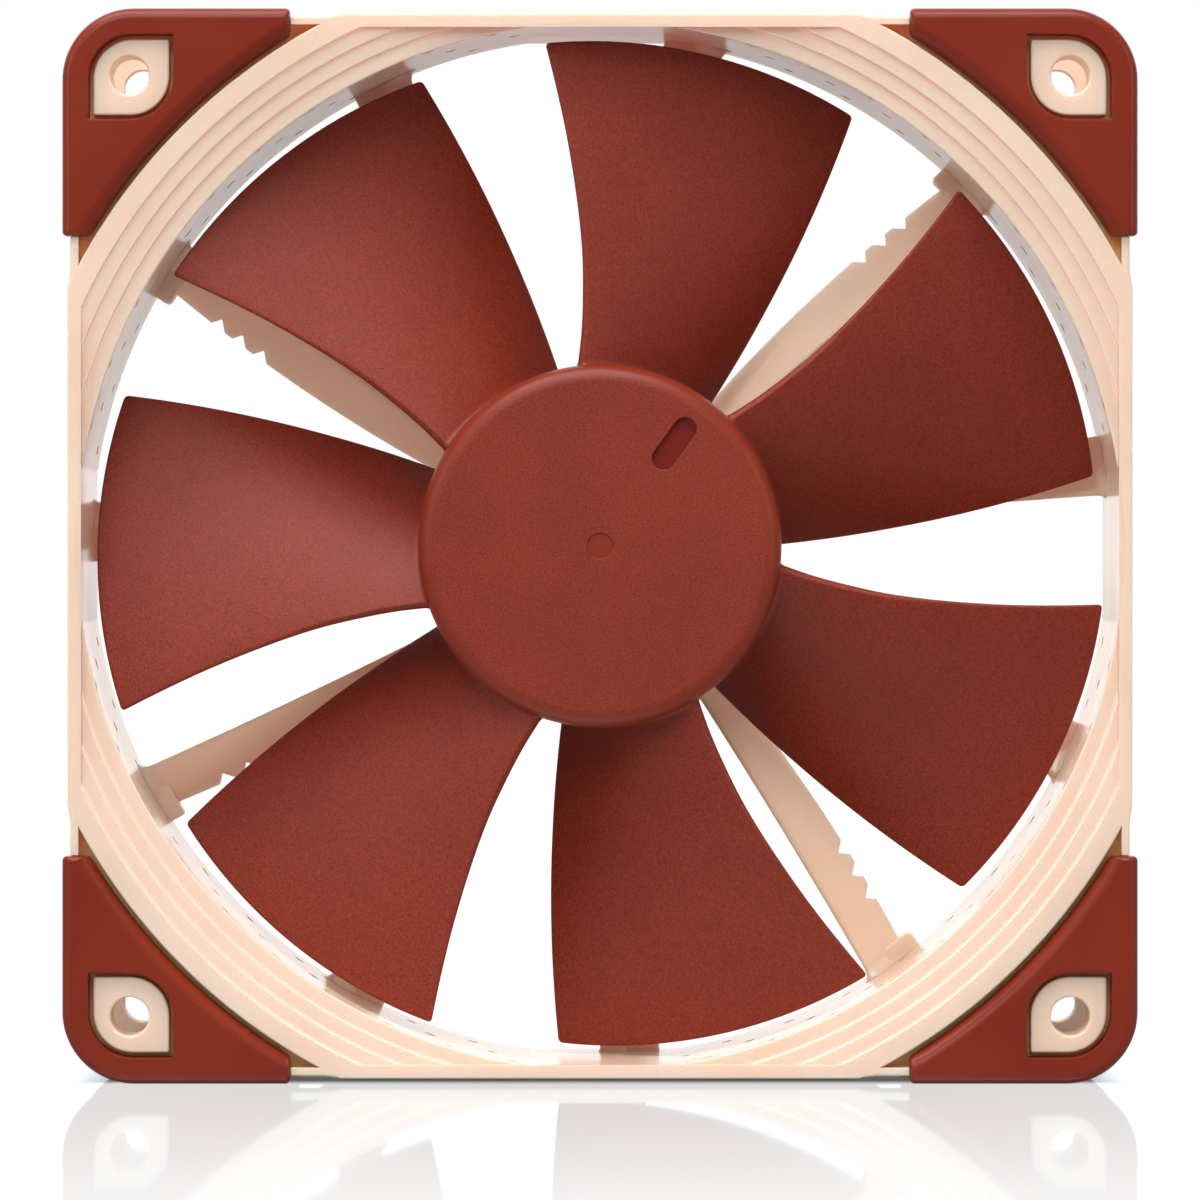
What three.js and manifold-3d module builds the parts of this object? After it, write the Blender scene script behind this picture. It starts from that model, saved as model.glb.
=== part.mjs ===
// A 120 mm case fan: one moulded frame with silicone corner pads, a seven-blade impeller and a
// brushless motor with an oil bearing inside its hub. Sizes are in millimetres.
// Every piece is modelled with the fan's axis along +Z, its intake side up and its middle at the origin.
// The last group turns the whole fan so that the intake faces -Y and +Z is up.
import * as THREE from "three";
import { mergeVertices } from "three/addons/utils/BufferGeometryUtils.js";
import Module from "manifold-3d";

const wasm = await Module();
wasm.setup();

// ---- Overall sizes ----
const FAN_SIZE = 120; // across the pads, both ways
const FAN_DEPTH = 25; // from the front pads' faces to the rear pads' faces
const FIT_GAP = 0.3; // between two pieces that touch
const OVERCUT = 1; // how far a cut runs past the face it opens
const ROUND_STEPS = 72; // sides of the bore and the shroud
const HUB_STEPS = 36; // sides of the hub and what fits in its width
const SMALL_STEPS = 16; // sides of the holes, the shaft and the bearing

// ---- Frame ----
const SIDE_INSET = 0.6; // the side walls' faces, inside the pads' sides
const BORE_INSET = 0.9; // the bore, inside the side walls' faces
const RIM_WALL = 1.5; // the side walls' thickness, so that their flat insides cut the bore's edge
const STRIP_INSET = 0.9; // the thin side strips beside the pads, inside the pads' sides
const STRIP_WALL = 0.9;
const RIM_DROP = 0.8; // the rims, below the pads' faces
const INLET_STEPS = 3; // terraces round the intake's corners
const INLET_STEP_WIDTH = 1.72;
const INLET_STEP_DROP = 0.45;
const INLET_LIP = 2.44; // the shroud's wall outside the widest terrace
const HOLE_INSET = 7.5; // a screw hole's centre, from the pads' sides
const HOLE_R = 2.15;
const HOLE_CHAMFER = 0.25;
const FRONT_FLANGE = 3.2; // thickness of a front corner plate, without its boss
const REAR_FLANGE = 1.7;
const BOSS_DROP = 1.0; // a corner boss's face, below its pad's face

// ---- Corner pads ----
const FRONT_PAD = 3.0; // thickness
const REAR_PAD = 2.2;
const PAD_REACH = 34.6; // how near to the side's middle a pad's leg comes
const PAD_SHROUD_GAP = 0.6;
const PAD_CORNER_R = 8.0;
const BOSS_SIZE = 8.5; // the leaf-shaped corner boss, across its flats
const BOSS_ROUND = 4.4; // radius of its two round corners
const BOSS_SHARP = 0.3; // radius of its two sharp corners
const BOSS_SHIFT = 0.2; // its centre, from the hole towards the fan's middle
const WINDOW_GAP = 0.5; // between the boss and the pad round it

// ---- Impeller ----
const BLADES = 7;
const TIP_CLEARANCE = 1.7; // between a blade's tip and the bore
const HUB_R = 20.3;
const HUB_ROUND = 2.0; // radius of the hub's front edge
const HUB_WALL = 1.5;
const HUB_FACE = 1.6; // thickness of the hub's front wall
const HUB_DROP = 0.3; // the hub's front, below the pads' faces
const BLADE_ROOT_THICKNESS = 2.4;
const BLADE_TIP_THICKNESS = 1.4;
const BLADE_EDGE = 0.35; // share of its thickness that a blade keeps at its edges
const BLADE_TURN = 1.0; // degrees, trailing edge at the hub, up from +X
const BLADE_SWEEP = 7.1; // degrees, what the trailing edge gains from hub to tip
const BLADE_CAMBER = 0.25; // how much flatter than a straight ramp the leading half is
const LEAD_ROOT_DROP = 2.2; // the leading edge at the hub, below the hub's front
const LEAD_TIP_DROP = 5.3;
const TRAIL_ROOT_LIFT = 0.5; // the trailing edge at the hub, above the hub's rim
const TRAIL_TIP_LIFT = 1.4;
const RECESS_TURN = 54; // degrees, the balancing recess in the hub's face
const RECESS_IN = 12.1; // radius of the recess's inner end centre
const RECESS_OUT = 16.1;
const RECESS_R = 1.3;
const RECESS_DEPTH = 1.0;
const GATE_R = 1.6; // the moulding gate's dimple in the middle of the hub
const GATE_DEPTH = 0.3;
// The leading edge from hub to tip: share of the span, and degrees up from +X.
const LEADING_EDGE = new THREE.SplineCurve([
  new THREE.Vector2(0, 45.6),
  new THREE.Vector2(0.11, 43.4),
  new THREE.Vector2(0.24, 42.3),
  new THREE.Vector2(0.4, 42.0),
  new THREE.Vector2(0.67, 43.0),
  new THREE.Vector2(1, 44.8),
]);

// ---- Stator vanes ----
const VANE_TURNS = [8.75, 44, 79, 115, 147, 178, 209, 241, 273, 305, 336]; // degrees, at the wall
const VANE_THICKNESS = 1.1;
const VANE_AT_WALL = { front: -3.0, rear: 1.6 }; // degrees, a vane's edges from its middle
const VANE_AT_BASE = { front: -1.6, rear: 7.4 }; // the same at the motor base
const VANE_STEEPENING = 1.8; // 1 is a flat ramp; a higher power ends steeper
const VANE_REAR_INSET = 0.6; // its rear edge, inside the rear rim's plane
const NOTCHES = 3;
const NOTCH_R = 44.6; // radius of the innermost notch
const NOTCH_PITCH = 3.0;
const NOTCH_DEPTH = 1.3;
const NOTCH_HALF_WIDTH = 1.1;
const FOOT_WIDTH = 6.6; // the block that joins a vane to the wall
const FOOT_REACH = 2.0;
const FOOT_SHIFT = 0.5; // its middle, past the vane's middle
const FOOT_HEIGHT = 3.4;
const FOOT_SINK = 0.4; // how far vane and foot go into the wall

// ---- Motor base, in the middle of the frame ----
const BASE_FLOOR = 1.5;
const BASE_WALL = 1.2;
const BASE_GAP = 0.8; // between the impeller's rim and the base's wall
const BASE_REAR_INSET = 0.5; // the base's rear face, inside the rear pads' faces
const LEDGE_WIDTH = 1.5; // what the circuit board rests on
const LEDGE_HEIGHT = 0.8;
const SOCKET_WALL = 1.5;
const SOCKET_FLOOR = 0.5;
const SOCKET_HEIGHT = 2.9; // above the base's floor
const LABEL_THICKNESS = 0.2;
const LABEL_MARGIN = 1.0; // the rim round the label's recess
const CABLE_SLOT_TURN = 305; // degrees; the slot stands behind this vane
const CABLE_SLOT_WIDTH = 4.2;
const CABLE_SLOT_DEPTH = 2.6;

// ---- Bearing ----
const SHAFT_R = 1.5;
const RUNNING_CLEARANCE = 0.06;
const SLEEVE_WALL = 1.5;
const SHELL_WALL = 1.1;
const SHELL_FLOOR = 0.8;
const THRUST_PAD = 0.6;
const AXIAL_MAGNET = 1.2;
const WASHER = 0.4;
const GROOVE_DEPTH = 0.4; // the shaft's groove for the retaining washer
const SEAL = 0.6;
const BOSS_WALL = 1.8; // the brass boss round the shaft
const BOSS_FLANGE = 1.6; // how far the boss's flange stands out
const BOSS_FLANGE_HEIGHT = 1.0;
const BOSS_SKIRT = 1.3; // the boss below its flange

// ---- Motor ----
const YOKE_WALL = 1.0;
const MAGNET_WALL = 1.8;
const MAGNET_INSET = 0.3; // the magnet's rim, inside the yoke's rim
const MAGNET_HEADROOM = 0.9;
const AIR_GAP = 0.5;
const POLES = 4;
const POLE_SHOE = 2.0;
const POLE_SHOE_TURN = 68; // degrees that one shoe spans
const POLE_ARM = 3.0;
const CORE_RING = 2.4;
const INSULATOR = 0.8;
const COIL_BUILD = 1.6; // thickness of the wound wire
const COIL_HEADROOM = 1.0;
const BOARD = 1.0;
const CHIP = { width: 4.4, length: 5.0, height: 1.5, turn: 200 };
const HALL_SENSOR = { width: 3.0, length: 1.5, height: 2.0, turn: 45 };
const CAPACITOR = { width: 2.6, length: 3.2, height: 1.7, turn: 285 };
const RESISTOR = { width: 1.3, length: 2.0, height: 0.6 };
const RESISTOR_TURNS = [120, 335];
const TALLEST_PART = Math.max(CHIP.height, HALL_SENSOR.height, CAPACITOR.height);

// ---- Levels along the axis, from those sizes ----
const FRONT = FAN_DEPTH / 2;
const REAR = -FAN_DEPTH / 2;
const RIM_FRONT = FRONT - RIM_DROP;
const RIM_REAR = REAR + RIM_DROP;
const HUB_TOP = FRONT - HUB_DROP;
const BASE_REAR = REAR + BASE_REAR_INSET;
const BASE_INSIDE = BASE_REAR + BASE_FLOOR;
const BOARD_UNDER = BASE_INSIDE + LEDGE_HEIGHT + FIT_GAP;
const BOARD_TOP = BOARD_UNDER + BOARD;
const PARTS_UNDER = BOARD_TOP + FIT_GAP;
const HUB_RIM = PARTS_UNDER + TALLEST_PART + BASE_GAP;
const BASE_TOP = HUB_RIM - BASE_GAP;
const YOKE_RIM = HUB_RIM + FIT_GAP;
const YOKE_TOP = HUB_TOP - HUB_FACE - FIT_GAP;
const YOKE_UNDER = YOKE_TOP - YOKE_WALL;
const MAGNET_RIM = YOKE_RIM + MAGNET_INSET;
const MAGNET_TOP = YOKE_UNDER - MAGNET_HEADROOM;
const COIL_TOP = YOKE_UNDER - COIL_HEADROOM;
const COIL_UNDER = PARTS_UNDER + TALLEST_PART + COIL_HEADROOM;
const INSULATOR_TOP = COIL_TOP - COIL_BUILD - FIT_GAP;
const INSULATOR_UNDER = COIL_UNDER + COIL_BUILD + FIT_GAP;
const CORE_TOP = INSULATOR_TOP - INSULATOR - FIT_GAP;
const CORE_UNDER = INSULATOR_UNDER + INSULATOR + FIT_GAP;
const SOCKET_BOTTOM = BASE_REAR + LABEL_THICKNESS + FIT_GAP + SOCKET_FLOOR;
const SHELL_BOTTOM = SOCKET_BOTTOM + FIT_GAP;
const THRUST_UNDER = SHELL_BOTTOM + SHELL_FLOOR + FIT_GAP;
const SHAFT_BOTTOM = THRUST_UNDER + THRUST_PAD + FIT_GAP;
const WASHER_UNDER = SHAFT_BOTTOM + AXIAL_MAGNET + FIT_GAP;
const SLEEVE_BOTTOM = WASHER_UNDER + WASHER + FIT_GAP;
const BOSS_FLANGE_TOP = YOKE_UNDER - FIT_GAP;
const BOSS_FLANGE_UNDER = BOSS_FLANGE_TOP - BOSS_FLANGE_HEIGHT;
const BOSS_UNDER = BOSS_FLANGE_UNDER - BOSS_SKIRT;
const SHELL_TOP = BOSS_UNDER - FIT_GAP;
const SEAL_UNDER = SHELL_TOP - SEAL - FIT_GAP;
const SLEEVE_TOP = SEAL_UNDER - FIT_GAP;

// ---- Radii and widths, from those sizes ----
const HALF = FAN_SIZE / 2;
const SIDE_HALF = HALF - SIDE_INSET;
const STRIP_HALF = HALF - STRIP_INSET;
const BORE_R = SIDE_HALF - BORE_INSET;
const RIM_OPENING_HALF = SIDE_HALF - RIM_WALL;
const SHROUD_R = BORE_R + INLET_STEPS * INLET_STEP_WIDTH + INLET_LIP;
const PAD_ARC_R = SHROUD_R + PAD_SHROUD_GAP;
const HOLE_HALF_PITCH = HALF - HOLE_INSET;
const TIP_R = BORE_R - TIP_CLEARANCE;
const BLADE_ROOT_R = HUB_R - HUB_WALL / 2;
const BASE_INNER_R = HUB_R - BASE_WALL;
const BOARD_R = BASE_INNER_R - FIT_GAP;
const YOKE_R = HUB_R - HUB_WALL - FIT_GAP;
const MAGNET_R = YOKE_R - YOKE_WALL - FIT_GAP;
const CORE_R = MAGNET_R - MAGNET_WALL - AIR_GAP;
const SLEEVE_BORE_R = SHAFT_R + RUNNING_CLEARANCE;
const SLEEVE_R = SLEEVE_BORE_R + SLEEVE_WALL;
const SHELL_BORE_R = SLEEVE_R + FIT_GAP;
const SHELL_R = SHELL_BORE_R + SHELL_WALL;
const SOCKET_BORE_R = SHELL_R + FIT_GAP;
const SOCKET_R = SOCKET_BORE_R + SOCKET_WALL;
const BOARD_HOLE_R = SOCKET_R + FIT_GAP;
const BOARD_MIDDLE_R = (BOARD_HOLE_R + BOARD_R) / 2;
const BOSS_BORE_R = SHAFT_R + FIT_GAP;
const BOSS_R = BOSS_BORE_R + BOSS_WALL;
const CORE_BORE_R = SHELL_R + FIT_GAP;
const CORE_RING_R = CORE_BORE_R + CORE_RING;
const SHOE_IN_R = CORE_R - POLE_SHOE;
const COIL_IN_R = CORE_RING_R + FIT_GAP;
const COIL_HALF_WIDTH = POLE_ARM / 2 + FIT_GAP + COIL_BUILD;
// A coil's outer corners stay clear of the curved shoes.
const COIL_OUT_R = Math.sqrt((SHOE_IN_R - FIT_GAP) ** 2 - COIL_HALF_WIDTH ** 2);

// ---- Materials ----
const beigePlastic = { color: 0xe6cfb8, roughness: 0.55, metalness: 0 };
const brownPlastic = { color: 0x8a3428, roughness: 0.6, metalness: 0 };
const brownSilicone = { color: 0x99351f, roughness: 0.7, metalness: 0 };
const steel = { color: 0xb9bcc0, roughness: 0.35, metalness: 1 };
const siliconSteel = { color: 0x8b8f94, roughness: 0.45, metalness: 1 };
const brass = { color: 0xc9a24b, roughness: 0.35, metalness: 1 };
const bronze = { color: 0x9a6a3a, roughness: 0.5, metalness: 1 };
const ferrite = { color: 0x2b2b2d, roughness: 0.7, metalness: 0 };
const nylon = { color: 0xe9e6da, roughness: 0.5, metalness: 0 };
const copper = { color: 0xb5612f, roughness: 0.35, metalness: 1 };
const boardLaminate = { color: 0x1f5a38, roughness: 0.5, metalness: 0 };
const epoxy = { color: 0x1b1b1d, roughness: 0.6, metalness: 0 };
const ceramic = { color: 0xa58a66, roughness: 0.5, metalness: 0 };
const labelFilm = { color: 0x6f2a20, roughness: 0.4, metalness: 0 };

// ---- Solids ----
const degrees = THREE.MathUtils.degToRad;

/** A closed geometry as a solid that can be joined and cut. */
function solidOf(geometry) {
  const bare = geometry.clone();
  bare.deleteAttribute("normal");
  bare.deleteAttribute("uv");
  const merged = mergeVertices(bare, 1e-4);
  return new wasm.Manifold(
    new wasm.Mesh({
      numProp: 3,
      vertProperties: merged.attributes.position.array,
      triVerts: new Uint32Array(merged.index.array),
    }),
  );
}

/** A solid as a geometry that a mesh can show. */
function geometryOf(solid) {
  const made = solid.getMesh();
  const geometry = new THREE.BufferGeometry();
  geometry.setAttribute("position", new THREE.BufferAttribute(made.vertProperties, 3));
  geometry.setIndex(new THREE.BufferAttribute(made.triVerts, 1));
  geometry.computeVertexNormals();
  return geometry;
}

/** An outline in the plane across the axis, made solid between two levels. */
function prism(shape, low, high, curveSegments = 8) {
  const options = { depth: high - low, bevelEnabled: false, curveSegments };
  return new THREE.ExtrudeGeometry(shape, options).translate(0, 0, low);
}

/** A round solid from points of radius and level, listed anticlockwise with the axis on the left. */
function turned(points, steps = SMALL_STEPS) {
  const profile = points.map(([radius, level]) => new THREE.Vector2(radius, level));
  return new THREE.LatheGeometry(profile, steps).rotateX(Math.PI / 2);
}

/** A plain ring. */
function ring(inner, outer, low, high, steps = SMALL_STEPS) {
  const points = [
    [inner, low],
    [outer, low],
    [outer, high],
    [inner, high],
    [inner, low],
  ];
  return turned(points, steps);
}

/** A plain disc or rod, or a cone where the two radii differ. */
function rod(radius, low, high, steps = SMALL_STEPS, topRadius = radius) {
  const points = [
    [0, low],
    [radius, low],
    [topRadius, high],
    [0, high],
  ];
  return turned(points, steps);
}

/** A block given by its middle and its size. */
function block(x, y, low, high, width, length) {
  return new THREE.BoxGeometry(width, length, high - low).translate(x, y, (low + high) / 2);
}

/**
 * A curved sheet with thickness whose sections lie on cylinders round the axis.
 * surface(span, chord) gives radius, turn in radians, level and thickness, where chord runs anticlockwise.
 */
function curvedSheet(spanSteps, chordSteps, surface) {
  const positions = [];
  const rows = chordSteps + 1;
  const corner = (side, i, j) => (side * (spanSteps + 1) + i) * rows + j;
  for (const side of [0, 1]) {
    for (let i = 0; i <= spanSteps; i++) {
      for (let j = 0; j <= chordSteps; j++) {
        positions.push(...sheetPoint(surface, side, i / spanSteps, j / chordSteps));
      }
    }
  }
  const index = [];
  const quad = (a, b, c, d) => index.push(a, b, c, a, c, d);
  for (let i = 0; i < spanSteps; i++) {
    for (let j = 0; j < chordSteps; j++) {
      quad(corner(0, i, j), corner(0, i + 1, j), corner(0, i + 1, j + 1), corner(0, i, j + 1));
      quad(corner(1, i, j), corner(1, i, j + 1), corner(1, i + 1, j + 1), corner(1, i + 1, j));
    }
    quad(corner(0, i, 0), corner(1, i, 0), corner(1, i + 1, 0), corner(0, i + 1, 0));
    const last = chordSteps;
    quad(corner(0, i, last), corner(0, i + 1, last), corner(1, i + 1, last), corner(1, i, last));
  }
  for (let j = 0; j < chordSteps; j++) {
    const last = spanSteps;
    quad(corner(0, 0, j), corner(0, 0, j + 1), corner(1, 0, j + 1), corner(1, 0, j));
    quad(corner(0, last, j), corner(1, last, j), corner(1, last, j + 1), corner(0, last, j + 1));
  }
  const geometry = new THREE.BufferGeometry();
  geometry.setAttribute("position", new THREE.Float32BufferAttribute(positions, 3));
  return geometry.setIndex(index);
}

/** One point of a curved sheet: side 0 faces the intake, side 1 the outlet. */
function sheetPoint(surface, side, span, chord) {
  const step = 1e-3;
  const here = surface(span, chord);
  const before = surface(span, chord - step);
  const after = surface(span, chord + step);
  const along = (after.turn - before.turn) * here.radius;
  const down = after.level - before.level;
  const length = Math.hypot(along, down);
  const offset = ((side === 0 ? 1 : -1) * here.thickness) / 2;
  const turn = here.turn - (offset * down) / length / here.radius;
  const level = here.level + (offset * along) / length;
  return [here.radius * Math.cos(turn), here.radius * Math.sin(turn), level];
}

/** The thickness of a blade or vane section, full in the middle and thin at both edges. */
function edgeTaper(chord, edgeShare) {
  const across = Math.min(Math.max(chord, 0), 1);
  return edgeShare + (1 - edgeShare) * Math.sqrt(Math.sin(Math.PI * across));
}

// ---- Frame ----

/** A square with round corners. */
function roundedSquare(half, radius) {
  const shape = new THREE.Shape();
  const straight = half - radius;
  shape.absarc(straight, straight, radius, 0, Math.PI / 2);
  shape.absarc(-straight, straight, radius, Math.PI / 2, Math.PI);
  shape.absarc(-straight, -straight, radius, Math.PI, 1.5 * Math.PI);
  shape.absarc(straight, -straight, radius, 1.5 * Math.PI, 2 * Math.PI);
  return shape;
}

/** The leaf outline in the +X +Y corner: round towards the corner and the middle, sharp on the others. */
function leaf(half, round, sharp, PathType = THREE.Shape) {
  const centre = HOLE_HALF_PITCH - BOSS_SHIFT;
  const path = new PathType();
  const corner = (x, y, radius, start) => {
    const cx = centre + x * (half - radius);
    const cy = centre + y * (half - radius);
    path.absarc(cx, cy, radius, start, start + Math.PI / 2);
  };
  corner(1, 1, round, 0);
  corner(-1, 1, sharp, Math.PI / 2);
  corner(-1, -1, round, Math.PI);
  corner(1, -1, sharp, 1.5 * Math.PI);
  path.closePath();
  return path;
}

/** Repeats a solid in the four corners by quarter turns. */
function inFourCorners(solid) {
  const copies = [0, 90, 180, 270].map((turn) => solid.rotate([0, 0, turn]));
  return wasm.Manifold.union(copies);
}

/** The round shroud with its four flat sides, still without its bore. */
function shroudBlank() {
  const square = solidOf(block(0, 0, RIM_REAR, RIM_FRONT, 2 * SIDE_HALF, 2 * SIDE_HALF));
  const drum = solidOf(rod(SHROUD_R, RIM_REAR - OVERCUT, RIM_FRONT + OVERCUT, ROUND_STEPS));
  return square.intersect(drum);
}

/** Two crossed blocks that reach across the fan between the pads' legs. */
function betweenPads(reach, half, low, high) {
  const across = solidOf(block(0, 0, low, high, 2 * reach, 2 * half));
  return across.add(solidOf(block(0, 0, low, high, 2 * half, 2 * reach)));
}

/** The front corner plates, and the thin side strips that stand on them, flush with the rim. */
function frontPlates(low, high) {
  const outline = roundedSquare(STRIP_HALF, PAD_CORNER_R - STRIP_INSET);
  const pocket = 2 * (STRIP_HALF - STRIP_WALL);
  const middle = solidOf(block(0, 0, low - OVERCUT, RIM_FRONT + OVERCUT, pocket, pocket));
  const strips = solidOf(prism(outline, low, RIM_FRONT, 6))
    .subtract(middle)
    .intersect(betweenPads(PAD_REACH - FIT_GAP, STRIP_HALF + OVERCUT, low, RIM_FRONT));
  return solidOf(prism(outline, low, high, 6)).add(strips);
}

/** The rear corner plates, joined by thin side strips, open between each strip and the shroud. */
function rearPlates(low, high) {
  const outline = roundedSquare(STRIP_HALF, PAD_CORNER_R - STRIP_INSET);
  const pocketHalf = STRIP_HALF - STRIP_WALL;
  const plate = solidOf(prism(outline, low, high, 6));
  return plate.subtract(betweenPads(PAD_REACH, pocketHalf, low - OVERCUT, high + OVERCUT));
}

/** The corner bosses, which the pads' windows show. */
function cornerBosses(low, high) {
  const outline = leaf(BOSS_SIZE / 2, BOSS_ROUND, BOSS_SHARP);
  return inFourCorners(solidOf(prism(outline, low, high, 3)));
}

/** A screw hole through both flanges of a corner, with both mouths chamfered. */
function screwHoles() {
  const faceFront = FRONT - BOSS_DROP;
  const faceRear = REAR + BOSS_DROP;
  const wide = HOLE_R + HOLE_CHAMFER;
  const hole = solidOf(rod(HOLE_R, REAR - OVERCUT, FRONT + OVERCUT, SMALL_STEPS));
  const front = solidOf(rod(HOLE_R, faceFront - HOLE_CHAMFER, faceFront, SMALL_STEPS, wide));
  const rear = solidOf(rod(wide, faceRear, faceRear + HOLE_CHAMFER, SMALL_STEPS, HOLE_R));
  const one = hole.add(front).add(rear).translate([HOLE_HALF_PITCH, HOLE_HALF_PITCH, 0]);
  return inFourCorners(one);
}

/** The bore and the terraces that widen it in the intake's corners, all cut flat by the side walls. */
function boreAndTerraces() {
  const low = REAR - OVERCUT;
  const high = FRONT + OVERCUT;
  let cut = solidOf(rod(BORE_R, low, high, ROUND_STEPS));
  for (let step = 1; step <= INLET_STEPS; step++) {
    const radius = BORE_R + step * INLET_STEP_WIDTH;
    const level = RIM_FRONT - (INLET_STEPS + 1 - step) * INLET_STEP_DROP;
    cut = cut.add(solidOf(rod(radius, level, high, ROUND_STEPS)));
  }
  const square = block(0, 0, low, high, 2 * RIM_OPENING_HALF, 2 * RIM_OPENING_HALF);
  return cut.intersect(solidOf(square));
}

/** Degrees from a vane's middle to its rear edge, at a radius. */
function vaneRearTurn(radius) {
  const span = (radius - HUB_R) / (BORE_R - HUB_R);
  return THREE.MathUtils.lerp(VANE_AT_BASE.rear, VANE_AT_WALL.rear, span);
}

/** The middle surface of a vane, from the motor base out to the wall. */
function vaneSurface(span, chord) {
  const radius = THREE.MathUtils.lerp(HUB_R - BASE_WALL / 2, BORE_R + FOOT_SINK, span);
  const frontTurn = THREE.MathUtils.lerp(VANE_AT_BASE.front, VANE_AT_WALL.front, span);
  const across = 1 - Math.pow(Math.max(1 - chord, 0), VANE_STEEPENING);
  const low = RIM_REAR + VANE_REAR_INSET;
  const turn = degrees(THREE.MathUtils.lerp(frontTurn, vaneRearTurn(radius), across));
  const level = THREE.MathUtils.lerp(BASE_TOP - VANE_THICKNESS / 2, low, chord);
  return { radius, turn, level, thickness: VANE_THICKNESS * edgeTaper(chord, 0.7) };
}

/** The V-shaped notches in a vane's rear edge. */
function vaneNotches() {
  const notches = [];
  for (let i = 0; i < NOTCHES; i++) {
    const radius = NOTCH_R + i * NOTCH_PITCH;
    const edge = radius * degrees(vaneRearTurn(radius)) + VANE_THICKNESS / 2;
    const wedge = new THREE.Shape();
    wedge.moveTo(radius, edge - NOTCH_DEPTH);
    wedge.lineTo(radius + 2 * NOTCH_HALF_WIDTH, edge + NOTCH_DEPTH);
    wedge.lineTo(radius - 2 * NOTCH_HALF_WIDTH, edge + NOTCH_DEPTH);
    wedge.closePath();
    notches.push(solidOf(prism(wedge, REAR, BASE_TOP, 1)));
  }
  return wasm.Manifold.union(notches);
}

/** One vane with its notches and the block that joins it to the wall, at turn 0. */
function vane() {
  const sheet = solidOf(curvedSheet(4, 4, vaneSurface));
  const outer = BORE_R + FOOT_SINK;
  const inner = BORE_R - FOOT_REACH;
  const low = RIM_REAR + VANE_REAR_INSET;
  const high = low + FOOT_HEIGHT;
  const foot = block((inner + outer) / 2, FOOT_SHIFT, low, high, outer - inner, FOOT_WIDTH);
  return sheet.subtract(vaneNotches()).add(solidOf(foot));
}

/** The cup in the middle of the frame that holds the board and the bearing's shell. */
function motorBase() {
  const recessR = HUB_R - LABEL_MARGIN;
  const recessTop = BASE_REAR + LABEL_THICKNESS + FIT_GAP;
  const ledgeR = BASE_INNER_R - LEDGE_WIDTH;
  const points = [
    [0, recessTop],
    [recessR, recessTop],
    [recessR, BASE_REAR],
    [HUB_R, BASE_REAR],
    [HUB_R, BASE_TOP],
    [BASE_INNER_R, BASE_TOP],
    [BASE_INNER_R, BASE_INSIDE + LEDGE_HEIGHT],
    [ledgeR, BASE_INSIDE + LEDGE_HEIGHT],
    [ledgeR, BASE_INSIDE],
    [SOCKET_R, BASE_INSIDE],
    [SOCKET_R, BASE_INSIDE + SOCKET_HEIGHT],
    [SOCKET_BORE_R, BASE_INSIDE + SOCKET_HEIGHT],
    [SOCKET_BORE_R, SOCKET_BOTTOM],
    [0, SOCKET_BOTTOM],
  ];
  return solidOf(turned(points, HUB_STEPS));
}

/** The slot in the rear rim that the fan's cable leaves through. */
function cableSlot() {
  const inner = BORE_R - OVERCUT;
  const outer = SHROUD_R + OVERCUT;
  const low = RIM_REAR - OVERCUT;
  const high = RIM_REAR + CABLE_SLOT_DEPTH;
  const slot = block((inner + outer) / 2, 0, low, high, outer - inner, CABLE_SLOT_WIDTH);
  const beside = CABLE_SLOT_TURN + THREE.MathUtils.radToDeg((FOOT_WIDTH + CABLE_SLOT_WIDTH) / 2 / BORE_R);
  return solidOf(slot).rotate([0, 0, beside]);
}

/** The whole frame, which is one moulding. */
function frame() {
  const frontTop = FRONT - FRONT_PAD - FIT_GAP;
  const rearTop = REAR + REAR_PAD + FIT_GAP;
  const shell = shroudBlank()
    .add(frontPlates(frontTop - FRONT_FLANGE, frontTop))
    .add(rearPlates(rearTop, rearTop + REAR_FLANGE))
    .add(cornerBosses(frontTop - FRONT_FLANGE / 2, FRONT - BOSS_DROP))
    .add(cornerBosses(REAR + BOSS_DROP, rearTop + REAR_FLANGE / 2))
    .subtract(boreAndTerraces())
    .subtract(screwHoles())
    .subtract(cableSlot());
  const vanes = VANE_TURNS.map((turn) => vane().rotate([0, 0, turn]));
  const inside = rod(HUB_R - BASE_WALL / 2, REAR - OVERCUT, BASE_TOP + OVERCUT, HUB_STEPS);
  const spider = wasm.Manifold.union(vanes).subtract(solidOf(inside));
  return shell.add(spider).add(motorBase());
}

// ---- Corner pads ----

/** A corner pad in the +X +Y corner, from its seat up to its face. */
function cornerPad(thickness) {
  const legEnd = Math.sqrt(PAD_ARC_R ** 2 - PAD_REACH ** 2);
  const start = Math.atan2(PAD_REACH, legEnd);
  const straight = HALF - PAD_CORNER_R;
  const outline = new THREE.Shape();
  outline.moveTo(legEnd, PAD_REACH);
  outline.lineTo(HALF, PAD_REACH);
  outline.absarc(straight, straight, PAD_CORNER_R, 0, Math.PI / 2);
  outline.lineTo(PAD_REACH, HALF);
  outline.lineTo(PAD_REACH, legEnd);
  outline.absarc(0, 0, PAD_ARC_R, Math.PI / 2 - start, start, true);
  const windowHalf = BOSS_SIZE / 2 + WINDOW_GAP;
  outline.holes.push(leaf(windowHalf, BOSS_ROUND + WINDOW_GAP, BOSS_SHARP, THREE.Path));
  return prism(outline, FRONT - thickness, FRONT, 4);
}

// ---- Impeller ----

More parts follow.
